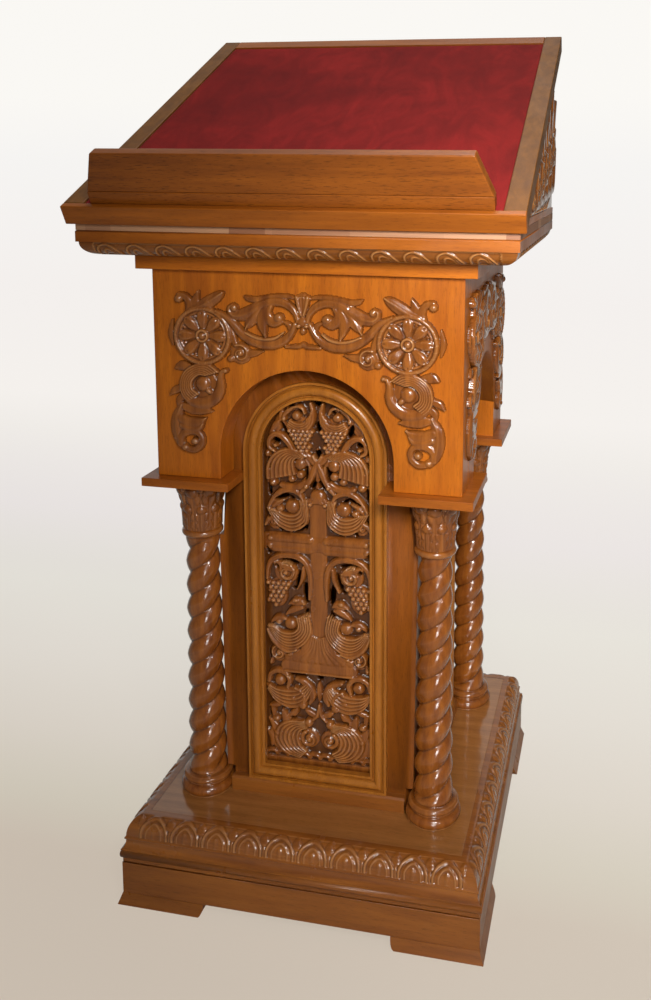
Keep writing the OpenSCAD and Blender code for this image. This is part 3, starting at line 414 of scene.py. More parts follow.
    def leaf(self, u, v, angle, length, width, height, foot, bend=0):
        """A pointed leaf from its root: it swells, bends and runs out; a vein is cut along it."""
        count = 14
        t = np.linspace(0, 1, count)
        a = math.radians(angle) + math.radians(bend) * t
        step = length / (count - 1)
        pts = np.stack([u + np.cumsum(np.cos(a)) * step - math.cos(a[0]) * step,
                        v + np.cumsum(np.sin(a)) * step - math.sin(a[0]) * step], -1)
        w = width / 2 * np.sin(math.pi * np.clip(t * 0.93 + 0.07, 0, 1) ** 0.85) ** 0.8 + 0.35
        self.stroke(pts, w, height - 1.5 * t, foot, 1, 1.1)

    def grapes(self, u, v, rows, r, height, foot):
        """A bunch that hangs with its widest row on top."""
        for row in range(rows):
            count = rows - row
            for i in range(count):
                self.mound(u + (i - (count - 1) / 2) * r * 1.95, v - row * r * 1.65, r, r,
                           height - 0.25 * ((row + i) % 2), foot)

    def mirror(self):
        """Copies the right half onto the left; the grid is even about u = 0."""
        self.H = np.maximum(self.H, self.H[:, ::-1])

    def piece(self, name, place, replaces, cut, ground, floor=None):
        """Turns the field into a carved mesh. Points lower than cut are left out, and those lower than floor
        are darkened with painted shade as deep hollows."""
        faces = grid_faces(*self.H.shape, keep=self.H > cut)
        hollow, crest = hollows(self.H, 8, 1.3, ground)
        # painted shade on the low ground between the raised carving
        if floor is not None:
            hollow = np.maximum(hollow, 0.85 * np.clip((floor - self.H) / 2.5, 0, 1))
        used = np.unique(faces)
        renumber = np.zeros(self.H.size, dtype=np.int64)
        renumber[used] = np.arange(len(used))
        u, v, h, hollow, crest = (field.ravel()[used] for field in (self.U, self.V, self.H, hollow, crest))
        add_mesh(name, place(u, v, h), renumber[faces], CARVED, replaces, (hollow, crest))


def facing(side, distance):
    """Maps (u, v, height) of a relief to points in mm on the front, right, rear or left face."""
    def place(u, v, h):
        x, y = {"front": (u, -distance - h), "right": (distance + h, u),
                "left": (-distance - h, -u), "rear": (-u, distance + h)}[side]
        return np.stack([x, y + BASE_Y, v], -1)
    return place


# Sizes of the base, in mm
PLINTH_FOOT, PLINTH_TOP = extent("plinth_mouldings", 2)
PANEL_BACK = 136.0
PANEL_LOW, PANEL_HIGH = extent("carved_panel_front", 2)
PANEL_HALF = extent("carved_panel_front", 0)[1]
BOX_FRONT = extent("box_board_rear", 1)[1] - BASE_Y
BOX_SIDE = extent("box_board_right", 0)[1]


# Pierced panels of the core

def vine_panel():
    """The carving of the front panel, given for its right half. The side panels repeat it, drawn closer to the
    cross."""
    r = Relief(-PANEL_HALF, PANEL_HALF, PANEL_LOW, PANEL_HIGH, step=1, ground=3)
    each(r.stroke,
         # cross with its flared foot and rounded arms
         ([(0, 575), (0, 340)], 12.5, 9, 7.6, 0, 1, 0.25),
         ([(0, 513.5), (76, 513.5)], [14, 13.5], 10.5, 7, 0, 1, 0.5),
         ([(12, 520), (66, 520)], [6, 6.5], 12.4, 8), ([(12, 505), (66, 505)], [6.5, 7], 10.8, 7),
         ([(0, 325.5), (49, 325.5)], [9.5, 9.5], 10.5, 8, 0, 1, 0.25),
         ([(0, 317.5), (51, 317.5)], 2.6, 12, 8),
         # crossing stems
         ([(-6, 645), (2, 632), (9, 615), (17, 600), (24, 592)], [3.5, 4.4, 5, 4, 3], 13.6, 7.5, 1),
         ([(0, 655), (0, 600)], [2.2, 3.6], 10.5, 6),
         ([(6, 636), (14, 645), (24, 652)], [4.4, 5, 5], 12.5, 7, 1),
         # top curl with its cup of rings
         ([(17.8, 707), (21.5, 713.5), (28, 716), (37, 713.5), (45, 707), (50, 699)], [2, 3.4, 4, 4, 3.6,
         2.6], 13.4, 7, 1), ([(9, 722), (6, 708), (8, 694), (16, 684)], [2.6, 4, 4.4, 3.6], 13, 7, 1),
         ([(50, 714), (54, 702), (50, 690), (40, 682)], [2, 3.2, 4, 3.4], 12, 7, 1),
         ([(13, 727), (24, 726), (38, 722), (47, 715)], [3, 3.4, 3.2, 2], 11, 6),
         # grapes
         ([(24, 684), (24, 660)], [17, 6], 9.5, 7),
         # leaf at the shoulder of the arch
         ([(36, 652), (44, 664), (54, 673), (64, 674), (71, 666), (71, 655), (64, 650)], [4, 5, 5, 4.5, 4,
         3.6, 2.5], 13.6, 7, 1),
         # large fluted curl
         ([(17, 640), (12, 628), (14, 612), (24, 601), (40, 597), (54, 600)], [2.4, 3.8, 4.6, 5.2, 5.4, 3.6],
         12.6, 7, 1),
         # middle curl
         ([(22, 580), (28, 589), (42, 594), (57, 589), (67, 578), (73, 568)], [2.6, 4.2, 4.8, 4.6, 4, 2.6],
         13.4, 7, 1), ([(50, 580), (58, 576), (66, 568)], [3, 6, 4], 11.6, 6),
         ([(66, 552), (73, 548), (78, 540)], [4.6, 5, 3], 12.8, 7),
         # C scroll under the arms
         ([(13, 432), (12, 452), (13, 470), (18, 484), (28, 492), (42, 495), (58, 493), (70, 486), (76, 474),
         (77, 458)], [2.6, 3.8, 4.4, 4.6, 4.6, 4.6, 4.6, 4.4, 3.8, 2.6], 13, 7.5, 1),
         ([(22, 478), (24, 462), (32, 446)], [2.6, 3.6, 2.6], 12.4, 7, 1),
         # lobes and curl beside the shaft
         ([(34, 352), (48, 349), (61, 356), (71, 367), (77, 380)], [2.6, 4.2, 4.8, 4.2, 2.4], 14.2, 7.5),
         ([(14, 396), (12, 380), (17, 364), (26, 352)], [3, 4, 4, 2.6], 12, 7, 1),
         # curls and leaves under the cross
         ([(48, 292), (45, 303), (51, 313), (63, 316), (74, 310), (77, 299)], [3, 4.2, 4.6, 4.6, 4.2, 3.4],
         13.2, 7, 1),
         ([(34, 306), (22, 301), (13, 292), (10, 280), (14, 270)], [3.6, 5.4, 6.2, 5, 3], 12.8, 7, 1),
         ([(36, 292), (28, 288), (22, 280), (23, 272)], [3, 4, 4, 3], 13.6, 7),
         ([(0, 268), (3, 252), (10, 244)], [2.4, 3.4, 3], 11.6, 6.5))
    each(r.mound,
         (0, 586, 12, 10, 13, 7), (11, 574, 3.6, 3.2, 14, 8), (19, 572, 4, 6, 12.5, 7),
         (16.5, 600.5, 4.4, 4.4, 14.6, 8), (30, 703, 7.5, 7, 14.8, 7), (48.5, 698, 4.2, 4.2, 14, 7),
         (14, 697, 3, 7, 13, 8, 20), (62, 658, 4.5, 4, 12.5, 6), (74, 645, 5, 6, 11.5, 6),
         (25, 633, 9, 9, 15, 8), (25, 617, 6.5, 6, 13.6, 8), (38, 610, 6, 5, 12.8, 8),
         (38, 569, 11, 10.5, 15.2, 7), (56, 565, 6.4, 5, 13.8, 8), (66, 603, 7, 6.5, 13, 7),
         (66, 603, 3.4, 3.2, 14.4, 9), (54, 548, 5, 4.2, 12.5, 7), (71, 520, 5.6, 5, 13.6, 8),
         (72, 508, 5, 5.6, 12.6, 8), (62, 436, 15, 22, 9.5, 6), (73, 441, 4, 5, 12.5, 7),
         (75, 425, 3.5, 5, 12, 7), (34, 428, 5.5, 4.5, 14, 8), (42, 391, 10, 9, 15.2, 7),
         (60, 393, 5.2, 4.4, 13.8, 8), (44, 344, 5, 4.4, 12.8, 8), (73, 330, 4, 7, 12, 6.5),
         (60, 301, 9, 8.5, 14.4, 7), (25, 266, 7, 7, 14.2, 8), (39, 276, 6, 4.4, 13.8, 7.5, 20),
         (16, 239, 6.5, 7, 14, 8), (66, 240, 6.5, 5.4, 13, 7), (65, 218, 5, 6, 13.6, 8))
    each(r.leaf,
         (4, 582, 205, 14, 9, 13.5, 8), (10, 582, -70, 26, 9, 12, 7, 20),
         (48, 706, -52, 34, 15, 11.5, 6, -28), (56, 694, -40, 22, 10, 12.5, 6, -30),
         (66, 684, -78, 26, 9, 12, 6, -14), (20, 556, -48, 34, 9, 13, 7.5, -6),
         (74, 625, -88, 24, 8, 10.5, 6), (36, 474, 10, 30, 10, 14, 8, 24),
         (66, 484, -120, 28, 9, 12.8, 7.5, -30), (20, 424, 20, 26, 12, 13, 7, -50),
         (24, 417, -6, 30, 10, 12.6, 7, -40), (50, 398, 20, 26, 9, 13.2, 7.5, -75),
         (0, 302, -90, 30, 9, 11, 6), (20, 258, -140, 22, 9, 12, 7, -30), (34, 258, -60, 24, 10, 12, 7, 24),
         (56, 254, -110, 26, 10, 12.2, 7, 30), (72, 262, -100, 22, 8, 11.6, 7, 14),
         (52, 192, 74, 56, 17, 12.6, 7, -24), (62, 190, 62, 36, 12, 11.6, 6.5, -10),
         (74, 196, 92, 34, 10, 11, 6), (44, 268, -8, 20, 8.5, 13, 7, 12), (52, 276, 6, 20, 8.5, 13, 7, 12),
         (58, 264, -20, 20, 8.5, 13, 7, 12), (64, 284, 20, 20, 8.5, 13, 7, 12))
    each(r.shell,
         ([(1, 372), (2, 354), (4, 337)], [(13, 376), (21, 353), (47, 338)], 5, 12, 2.2, (0.4, 1)),
         ([(11.3, 699), (17.7, 693), (29, 691), (40, 696)], [(6, 713), (6.4, 697), (12.8, 685.5),
         (27.4, 680.5), (44, 688)], 4, 13.2, 2.8, (0.8, 0.5)),
         ([(22, 641), (32, 642), (36.5, 634), (34, 619)], [(15, 645), (30, 653), (50, 652), (66, 641.5),
         (73, 627), (73.5, 610)], 7, 14, 3, (0.5, 0.9)),
         ([(26, 580), (24.5, 566), (33, 556.5), (48, 556), (64, 563)], [(16, 580), (16.5, 548), (37, 534.5),
         (61, 543), (75, 566)], 5, 13.8, 3.2, (0.4, 0.5)),
         ([(32, 401), (29.5, 387), (38, 378), (54, 377), (69, 386)], [(15, 408), (12, 382), (25, 361),
         (46, 353.5), (65, 364), (77, 386)], 6, 14.2, 3.2, (0.45, 0.45)),
         ([(76, 292), (64, 287), (48, 286), (33, 289), (19, 299)], [(79, 287), (66, 270), (45, 262),
         (24, 269), (11, 291)], 5, 13.6, 3, (0.5, 0.45)),
         ([(18, 231), (29, 227), (34, 215), (30, 202), (20, 194)], [(20, 240), (43, 239), (61, 228),
         (66, 208), (53, 190), (30, 183)], 6, 13.8, 3.2, (0.45, 0.7)))
    each(r.curl,
         (64, 543, 11, 200, 1, -1, 12.8, 7, 1, 0.3), (49, 469, 18, 75, 1.1, 1, 13.4, 7.5, 3, 0.24),
         (61, 344, 15, 100, 1.1, -1, 13.2, 7, 2, 0.3), (16, 213, 15, 60, 1.2, -1, 13.6, 7, 1, 0.36))
    each(r.grapes,
         (60, 452, 5, 4, 13.8, 8), (64, 432, 3, 4, 13.6, 8), (24, 681, 6, 3.5, 13.8, 8.5),
         (15, 659, 2, 3.5, 13.8, 8.5))
    # steps of the cross's foot, and scallops along the foot of the panel
    for level in range(6):
        t = level / 5
        half = 13 + 38 * (1 - math.sin(t * math.pi / 2)) ** 1.3
        r.stroke([(0, 330 + 34 * t), (half, 330 + 34 * t)], 5, 9.4, 8, power=0.3)
    for x in (8, 24, 41, 58, 74):
        r.stroke(arc(x, 180, 9.5, 8, 20, 160, 9), 3, 10.5, 6.5)
    r.mirror()
    ledge_top, ledge, solid = 178, 7.5, 12.2        # no hole is pierced where the carving is higher than solid
    r.H = np.where(r.V < ledge_top, np.maximum(r.H, ledge), r.H)
    # holes pierced through between the vines: middle, half axes and turn
    pierced = np.zeros(r.H.shape, bool)
    for u, v, ru, rv, turn in (
            (0, 721, 6, 4.5, 0), (0, 687, 3.6, 8, 0), (0, 645, 5, 10, 0), (24, 711, 4, 5, 0),
            (34, 715, 9, 3.4, -8), (49, 684, 4, 11, -24), (62, 664, 5.5, 4, 10), (16, 620, 3.4, 12, 10),
            (6, 602, 3.2, 8, 38), (72, 632, 4, 9, 0), (73, 592, 3, 10, 0), (54, 581, 11, 3.4, -14),
            (40, 580, 5, 2.6, 30), (21, 540, 4.4, 7, 0), (30, 533, 8, 3.4, -16), (56, 534, 3.4, 5, 0),
            (71, 552, 4, 3, 0), (44, 484, 13, 3, 8), (62, 477, 3, 5, -30), (31, 458, 3.4, 14, 14),
            (20, 438, 4.4, 16, -4), (19, 406, 3.4, 8, 0), (37, 444, 4, 3, 0), (76, 500, 3, 7, 0),
            (48, 346, 4, 3, 0), (0, 308, 4.6, 3.4, 0), (34, 309.5, 14, 2.2, 0), (75, 340, 2.4, 10, 0),
            (41, 244, 4, 3, 0), (76, 245, 2.6, 6, 0)):
        for sign in (1, -1):
            pierced |= r.ellipse(..., sign * u, v, ru, rv, sign * turn) < 1
    r.H = np.where(pierced & (r.H < solid), -1.0, r.H)
    return r


vines = vine_panel()
for side in ("front", "right", "left"):
    node = "carved_panel_" + side
    low, high = extent(node, 0 if side == "front" else 1)
    half = (high - low) / 2
    squeeze = half / PANEL_HALF
    crown = PANEL_HIGH - half
    inside = (vines.V < crown) | (np.hypot(vines.U * squeeze, vines.V - crown) < half - 0.5)
    kept = vines.H
    vines.H = np.where(inside, kept, -1.0)
    to_face = facing(side, PANEL_BACK)
    vines.piece(node + "_vines", lambda u, v, h, f=to_face, k=squeeze: f(u * k, v, h), [node],
                cut=0, ground=10.4, floor=7)
    vines.H = kept


# Carvings on the upper box

def box_crest(rosette, k):
    """Scrolls between the rosettes, and the pendants below them; k draws the scrolls in towards the middle."""
    r = Relief(-210, 210, 640, 905, step=1, ground=-1)
    x, z = rosette, 822

    def rib(points, widths, *rest):                 # all ribs are a little wider than their tables say
        r.stroke(points, np.multiply(widths, 1.16), *rest)

    def scroll(points, *rest):
        rib([(u * k, v) for u, v in points], *rest)

    def hung(points, *rest):
        rib([(x + u, v) for u, v in points], *rest)

    each(scroll,
         # stem that sweeps from the rosette to the knot in the middle
         ([(122, 856), (108, 849), (98, 840), (88, 829), (76, 820.5), (62, 815.5), (48, 814), (34, 816.4),
         (22, 824), (14.5, 834), (10.5, 843)], [3, 4.4, 5.2, 5.8, 6.4, 6.8, 6.8, 6.2, 5.2, 4.2, 3], 8.4, 2.4),
         ([(80, 829), (66, 823), (52, 821), (38, 823.5), (27, 831)], [1, 2, 2.2, 2, 1], 9.2, 5),
         # leaf that springs from the knot, sweeps over the top and curls in by the rosette
         ([(6.7, 847), (9, 856), (15.8, 865), (26, 870.7), (38, 872.5), (50.7, 870), (60, 866)], [2.6, 3.8,
         4.8, 5.4, 5.6, 5.6, 5], 8.8, 2.6, 1, 0.8),
         ([(50, 870), (60.2, 865), (69.7, 859.3), (79.3, 854.5), (89, 852), (97, 852), (102.5, 856.6),
         (103, 862.5), (98, 866)], [5, 6.6, 8, 8.2, 7, 5.4, 4.2, 3.6, 2.6], 8.2, 2.6, 2, 0.9),
         ([(82, 878.5), (75.8, 875), (63, 874.5), (47.5, 878), (32, 880), (18, 879.5), (8, 877)], [1, 3.6,
         3.8, 3.4, 3, 2.8, 1.2], 6.4, 2.4, 1, 0.7),
         # three lobes that hang inside it, the last one rolled up
         ([(56, 866), (64, 857), (72.6, 846.5), (81, 833)], [3.4, 6.8, 7.4, 0.9], 7.6, 2.6, 2, 0.9),
         ([(51, 865), (56, 854), (57, 842), (52, 824)], [3, 5.6, 6.6, 1.6], 8.6, 2.8, 1, 1),
         ([(44, 866), (49, 858), (47.5, 850), (41, 845), (33, 847)], [2.8, 5, 6.4, 7, 6], 8.8, 3, 1, 0.9),
         ([(27, 846), (19.5, 842), (16, 834), (20, 825)], [1.6, 3.4, 4.2, 2.6], 7.4, 2.6, 1),
         # tulip and knot in the middle
         ([(24, 812), (14, 812.5), (6, 813), (0, 816)], [2, 3, 3.2, 3.4], 6.4, 2),
         # small lower scroll with its tail
         ([(78, 800), (68, 801), (56, 804)], [5.4, 4, 0.8], 6.4, 2.4, 1),
         ([(96, 812), (100, 824), (104, 836)], [3.6, 4.2, 2.6], 7, 2.6, 1))
    each(lambda u, *rest: r.mound(u * k, *rest),
         (96.5, 862, 5.8, 5.6, 9.4, 3), (33.5, 850.5, 7.6, 7, 10, 3), (103, 792, 5.6, 5, 7, 2.6))
    r.curl(89 * k, 800, 15.5, 60, 1.2, 1, 7.6, 2.6, 2, 0.3)
    # tulip and knot in the middle
    each(rib, ([(0, 852), (0, 864), (0, 877)], [2.6, 5, 7.4], 7.6, 2.6, 3, 1.2),
         ([(2, 856), (5.4, 868), (7.4, 879)], [1.8, 2.6, 3], 8.4, 2.6))
    each(r.mound, (0, 846.5, 9.5, 7.5, 9, 2.6), (5.4, 841, 3.6, 3.2, 9.8, 4), (0, 834, 4.4, 5.4, 6.6, 2.6))
    # rosette: rope ring, inner ring, petals and boss
    rib(arc(x, z, 38.5, 37.5, 0, 360, 73), 3.3, 8.6, 2.6)
    rib(arc(x, z, 32.6, 31.8, 0, 360, 73), 1.9, 6.4, 2.6)
    rib(arc(x, z, 7.4, 7.4, 0, 360, 37), 2, 8.8, 4)
    strands, petals = 26, 8
    for i in range(strands):
        t = 2 * math.pi * i / strands
        r.mound(x + 38.5 * math.cos(t), z + 37.5 * math.sin(t), 3.4, 1.7, 9, 6, math.degrees(t) + 35)
    r.mound(x, z, 31, 30, 3.8, 2.6, power=0.3)
    r.mound(x, z, 6, 6, 9.8, 3)
    reach = np.array([9, 15, 22, 28, 31.5])
    for i in range(petals):
        t = 2 * math.pi * i / petals
        r.stroke(np.stack([x + reach * math.cos(t), z + reach * math.sin(t)], -1), [2.4, 4.6, 7.4, 7.6, 2.4],
                 [6, 7.4, 9.4, 9.8, 7.6], 3, 1, 1.3)
        t += math.pi / petals
        r.mound(x + 28.5 * math.cos(t), z + 28.5 * math.sin(t), 2.6, 2.2, 5.6, 3, math.degrees(t))
    each(hung,
         # leaves over the rosette
         ([(20, 856), (17.5, 862), (19.5, 869.5), (25, 875.5), (33, 876.5)], [4.4, 5.4, 5, 4.4, 4], 7.8, 2.4,
         1), ([(11, 860), (9.5, 870), (5, 883)], [5, 5.6, 0.9], 7.2, 2.4, 1),
         ([(16, 858), (1.5, 862.5), (-11.5, 869.5), (-23, 877), (-31, 882)], [4.6, 6.8, 7.8, 6, 1.6], 8.4,
         2.6, 2, 1.2), ([(44, 842), (47, 824), (44, 808)], [1.6, 3.6, 1.4], 5.6, 2, 1),
         # pendant under the rosette
         ([(41, 775), (33, 778.5), (23, 777)], [2, 6, 5.4], 5, 2),
         ([(28, 737), (15, 729), (-2, 728), (-17, 737), (-24.5, 751), (-24.5, 765), (-27.5, 773.5),
         (-33, 775)], [4.4, 6.6, 7.6, 7.2, 5.8, 4.4, 3.2, 2.6], 7.8, 2.6),
         ([(36, 747), (43, 743.5), (50, 737)], [4.6, 4.8, 0.9], 7, 2.4, 1),
         ([(31, 737), (36.5, 731), (38.5, 724)], [4.4, 4.6, 1.4], 6.8, 2.4, 1),
         # leaves and small volute at the foot
         ([(28, 721), (17, 718), (1, 717.5), (-12, 717)], [5, 6.2, 5.4, 1], 7.4, 2.4, 1, 1.2),
         ([(33, 724), (40, 709), (41.5, 695), (40, 682), (36, 670), (30, 662)], [3.4, 6.6, 7.8, 7.4, 6, 4], 7,
         2.4, 2, 1), ([(35, 705), (22, 699), (9, 700), (-2, 707)], [5.4, 7.4, 6.2, 1], 8.2, 2.6, 1, 1),
         ([(33, 695), (21, 691), (9, 692), (2, 699)], [4.6, 6, 4.6, 1.4], 7.6, 2.6),
         ([(36, 668), (35, 678), (29, 684.5), (18, 687), (8, 684), (4, 676), (7, 667), (15, 661), (25, 661)],
         [4.4, 4.8, 5, 4.8, 4.2, 4.2, 4.4, 4.4, 3.4], 8, 2.4, 1, 0.9))
    each(lambda u, *rest: r.mound(x + u, *rest),
         (33.5, 872, 6.4, 6.2, 9.2, 2.6), (5, 754, 25, 24, 3.8, 2.4, 0, 0.3), (1, 755, 10.5, 10.5, 9.8, 3),
         (-8, 746, 6.4, 4.4, 8.8, 3, 40), (-32.5, 775, 4, 4, 8.2, 2.6), (14.5, 673.5, 6, 5.6, 9.2, 2.6),
         (29, 664, 5.6, 5.4, 8.8, 2.6))
    inner = [(-4, 768), (7, 768.5), (17, 759), (17, 748), (9, 741)]
    outer = [(-21, 773), (-8, 782), (10, 781), (27, 770), (33, 753), (30, 739), (22, 731)]
    r.shell(*([(x + u, v) for u, v in line] for line in (inner, outer)), 6, 9, 2.8, (0.7, 0.8))
    r.mirror()
    return r


for side, half, out in (("front", BOX_SIDE, BOX_FRONT), ("right", BOX_FRONT, BOX_SIDE),
                        ("left", BOX_FRONT, BOX_SIDE)):
    rosette = half - 74                             # the rosettes stay this far from the corners
    crest = box_crest(rosette, (rosette - 37) / 106)
    crest.piece("box_crest_" + side, facing(side, out), ["box_carving_" + side], cut=-0.4, ground=5.4)


# Carved mouldings

def sample(relief, u, v):
    """Heights of a relief at any points, between its grid lines."""
    fu = np.clip((u - relief.u[0]) / relief.step, 0, len(relief.u) - 1.001)
    fv = np.clip((v - relief.v[0]) / relief.step, 0, len(relief.v) - 1.001)
    i, j = fv.astype(int), fu.astype(int)
    a, b = fu - j, fv - i
    H = relief.H
    return (H[i, j] * (1 - a) * (1 - b) + H[i, j + 1] * a * (1 - b) + H[i + 1, j] * (1 - a) * b
            + H[i + 1, j + 1] * a * b)


def carved_run(name, replaced, mat, profile, unit, pitch, low, high, runs):
    """Four mitred runs of a moulding whose profile holds (inset, height) points, carved between two heights.
    Each run is (side, distance of its outer edge, half length, middle along the side, units)."""
    across, along = 1.1, 1.2                        # steps between the points, in mm
    prof = even(profile, step=across)
    tangent = np.gradient(prof, axis=0)
    tangent /= np.hypot(tangent[:, 0], tangent[:, 1])[:, None]
    normal = np.stack([-tangent[:, 1], tangent[:, 0]], -1)
    for side, distance, half, middle, units in runs:
        t = np.linspace(-1, 1, int(2 * half / along))
        x = t[None, :] * (half - prof[:, :1])
        z = np.repeat(prof[:, 1:], len(t), axis=1)
        local = (x + (units % 2) * pitch / 2) % pitch - pitch / 2
        carved = (z > low) & (z < high) & (np.abs(x) < units * pitch / 2)
        height = np.where(carved, sample(unit, local, z), 0.0)
        inset = prof[:, :1] + normal[:, :1] * height
        verts = facing(side, distance)(t[None, :] * (half - inset), z + normal[:, 1:] * height, -inset)
        verts[..., 1] += middle
        add_mesh(name + "_" + side, verts, grid_faces(*height.shape), mat, replaced,
                 hollows(height, 6, 0.9))


# Lamb's tongue of the plinth: arches with a smaller arch and a tongue inside, and darts between.
PLINTH_HALF = extent("plinth_mouldings", 0)[1]
CROWN_HALF, TOP_HALF = 235.5, 228                   # half widths where the moulding turns over and at its top
TONGUES = 10
crown = PLINTH_HALF - CROWN_HALF
pitch = 2 * CROWN_HALF / TONGUES
Z = PLINTH_FOOT


def arch(middle, line, *rest):
    """A stroke over an arch of the plinth; line goes up to its crown, measured from its middle and foot."""
    left = [(middle - u, Z + v) for u, v in line]
    tongue.stroke(left + [(middle + u, Z + v) for u, v in reversed(line[:-1])], *rest)


tongue = Relief(-pitch / 2, pitch / 2, Z + 15, Z + 46, step=0.5, ground=-0.9)
for shift in (-pitch, 0, pitch):
    arch(shift, [(19.4, 18), (19.2, 28), (15.5, 36), (8, 41), (0, 43)], 1.9, 1.1, -1)
    arch(shift, [(11.4, 18), (11, 28), (6, 35), (0, 37.5)], 1.5, 0.9, -0.6)
    tongue.mound(shift, Z + 20, 17, 20, 0.2, -0.9)
    tongue.stroke([(shift, Z + 16), (shift, Z + 31)], [4.2, 3], 1, -0.6)
    tongue.stroke([(shift + pitch / 2, Z + 16), (shift + pitch / 2, Z + 30)], [1.4, 2], 0.4, -0.9)
    tongue.mound(shift + pitch / 2, Z + 38, 6.5, 6, 0.9, -0.9)
profile = [(0, Z), *arc(0, Z + 14, 6, 13, 270, 360, 7), *arc(6, Z + 16, 2, 2, 260, 100, 7),
           *arc(crown, Z + 18, crown - 6, PLINTH_TOP - Z - 18, 180, 90, 16),
           (PLINTH_HALF - TOP_HALF, PLINTH_TOP)]
carved_run("plinth_carving", ["plinth_mouldings"], CARVED_PLINTH, profile, tongue, pitch, Z + 18,
           PLINTH_TOP - 0.4, [(side, PLINTH_HALF, PLINTH_HALF, 0, TONGUES) for side in SIDES])

# Leaning arches of the cornice.
C, CORNICE_TOP = extent("cornice_mouldings", 2)
CORNICE_HALF = extent("cornice_mouldings", 0)[1]
ARCHES, SIDE_ARCHES, MITRE = 13, 11, 22             # arches in front and at the sides, plain length by a corner
front = BASE_Y - extent("cornice_mouldings", 1)[0]
back = extent("cornice_mouldings", 1)[1] - BASE_Y
w = (2 * CORNICE_HALF - 2 * MITRE) / ARCHES
lean = Relief(-w / 2, w / 2, C, C + 19, step=0.4, ground=-1.4)
for shift in (-w, 0, w):
    for points, width, height in (
            ([(-0.4, -1), (-0.4, 8), (-0.3, 13), (-0.12, 15), (0.08, 12.5), (0.25, 7), (0.42, -1)], 1.5, 0.5),
            ([(-0.2, -1), (-0.18, 6), (-0.08, 8.6), (0.06, 6.4), (0.2, -1)], 1.4, 0.2),
            ([(-0.02, 13), (0.12, 8), (0.3, -1)], 1.2, 0.1)):
        lean.stroke([(shift + u * w, C + v) for u, v in points], width, height, -1.3)
profile = [(76, C), (23, C), *arc(22, CORNICE_TOP - 1, 20.5, CORNICE_TOP - C - 1.5, 270, 180, 16),
           (1.5, CORNICE_TOP)]
side_run = (CORNICE_HALF, (back + front) / 2, (back - front) / 2, SIDE_ARCHES)
carved_run("cornice_carving", ["cornice_mouldings"], CARVED_CORNICE, profile, lean, w, C + 1,
           CORNICE_TOP - 1.2, [("front", front, CORNICE_HALF, 0, ARCHES), ("right", *side_run),
                               ("rear", back, CORNICE_HALF, 0, ARCHES), ("left", *side_run)])


# Barley twist columns and their capitals
COLUMN_Z = extent("column_front_left", 2)
CAPITAL_Z = extent("capital_front_left", 2)
TURNS = 72                                          # points round a column
LEAD = 72.0                                         # mm up the shaft in a full turn of its two grooves
FOOT_R, TOP_R = 28.0, 24.0
BELL_FOOT_R, BELL_TOP_R = 25.0, 38.0
BELL_R = 32                                         # radius that u is measured at, round the bell
BELL_TALL = CAPITAL_Z[1] - CAPITAL_Z[0]
FOOT_TALL, RING_TALL = 30, 11                       # turned foot and ring of a column
ANGLE = np.linspace(0, 2 * math.pi, TURNS, endpoint=False)


def twist_rows():
    """Radius at each angle and height of every row up a column."""
    shaft = COLUMN_Z[0] + FOOT_TALL
    ring = COLUMN_Z[1] - RING_TALL
    groove_deep, run_out, count = 8.2, 9, 190       # the grooves fade out over run_out mm at both ends
    foot = [(30, 0), (37, 0.2), *arc(32, 8, 8, 8, -60, 82, 14), (33.5, 16.3), (33.8, 18.6), (32.4, 19),
            *arc(32, 23.5, 4.5, 4.5, -70, 75, 9), (30.5, 28.6), (28.5, 29.2), (27.6, 30)]
    rows = [(np.full(TURNS, float(radius)), COLUMN_Z[0] + z) for radius, z in foot]
    for i in range(count + 1):
        z = (ring - shaft) * i / count
        phase = (ANGLE / (2 * math.pi) - z / LEAD) * 2
        off = np.abs(phase - np.round(phase)) * 2
        depth = groove_deep * min(1.0, z / run_out, (ring - shaft - z) / run_out)
        groove = 1 - np.sqrt(np.clip(1 - (off * 0.985) ** 2, 0, 1))
        taper = 1 - (1 - TOP_R / FOOT_R) * i / count
        rows.append(((FOOT_R + 0.2 - depth * groove ** 0.68) * taper, shaft + z))
    half = RING_TALL / 2
    rows += [(np.full(TURNS, radius), z) for radius, z in arc(TOP_R, ring + half, half, half, -80, 80, 9)]
    rows.append((np.full(TURNS, BELL_FOOT_R), COLUMN_Z[1]))
    return [np.array([row[0] for row in rows]), np.array([[row[1]] * TURNS for row in rows])]


def leaf_capital():
    """Carved bell: two rows of leaves that curl out at their tips. u runs round it."""
    around = 2 * math.pi * BELL_R
    leaves = 8
    r = Relief(0, around, 0, BELL_TALL, step=0.9, ground=0)
    r.U = np.repeat(np.linspace(0, around, r.H.shape[1] + 1)[:-1][None, :], r.H.shape[0], axis=0)
    for k in range(-1, leaves + 2):
        u = (k + 0.5) * around / leaves
        r.stroke([(u, 0), (u, 24), (u, 52), (u, 62)], [5.4, 6.8, 10.5, 6.4], 3.2, 1.4, 3, 0.9)
        r.mound(u, 58, 9.6, 7, 5.6, 2)
        for hand in (-1, 1):
            r.mound(u + hand * 6.5, 47, 4.2, 8, 4.2, 1.8, -hand * 15)
        u = k * around / leaves
        r.stroke([(u, 0), (u, 10), (u, 26), (u, 34)], [8.6, 10.6, 9.6, 5], 3.6, 1.6, 5, 1)
        r.mound(u, 31, 8.6, 5.4, 5.4, 2.4)
        for hand in (-1, 1):
            r.mound(u + hand * 8.2, 21, 3.2, 6.4, 4.4, 1.8, -hand * 16)
            r.mound(u + hand * 8.8, 9, 3, 5.4, 3.6, 1.6, -hand * 12)
        r.stroke([(u, 2), (u, 30)], 1.2, 4.4, 2.6)
        r.stroke([(u, 62), (u, 68)], [3.2, 4.6], 4.6, 2)
    return r


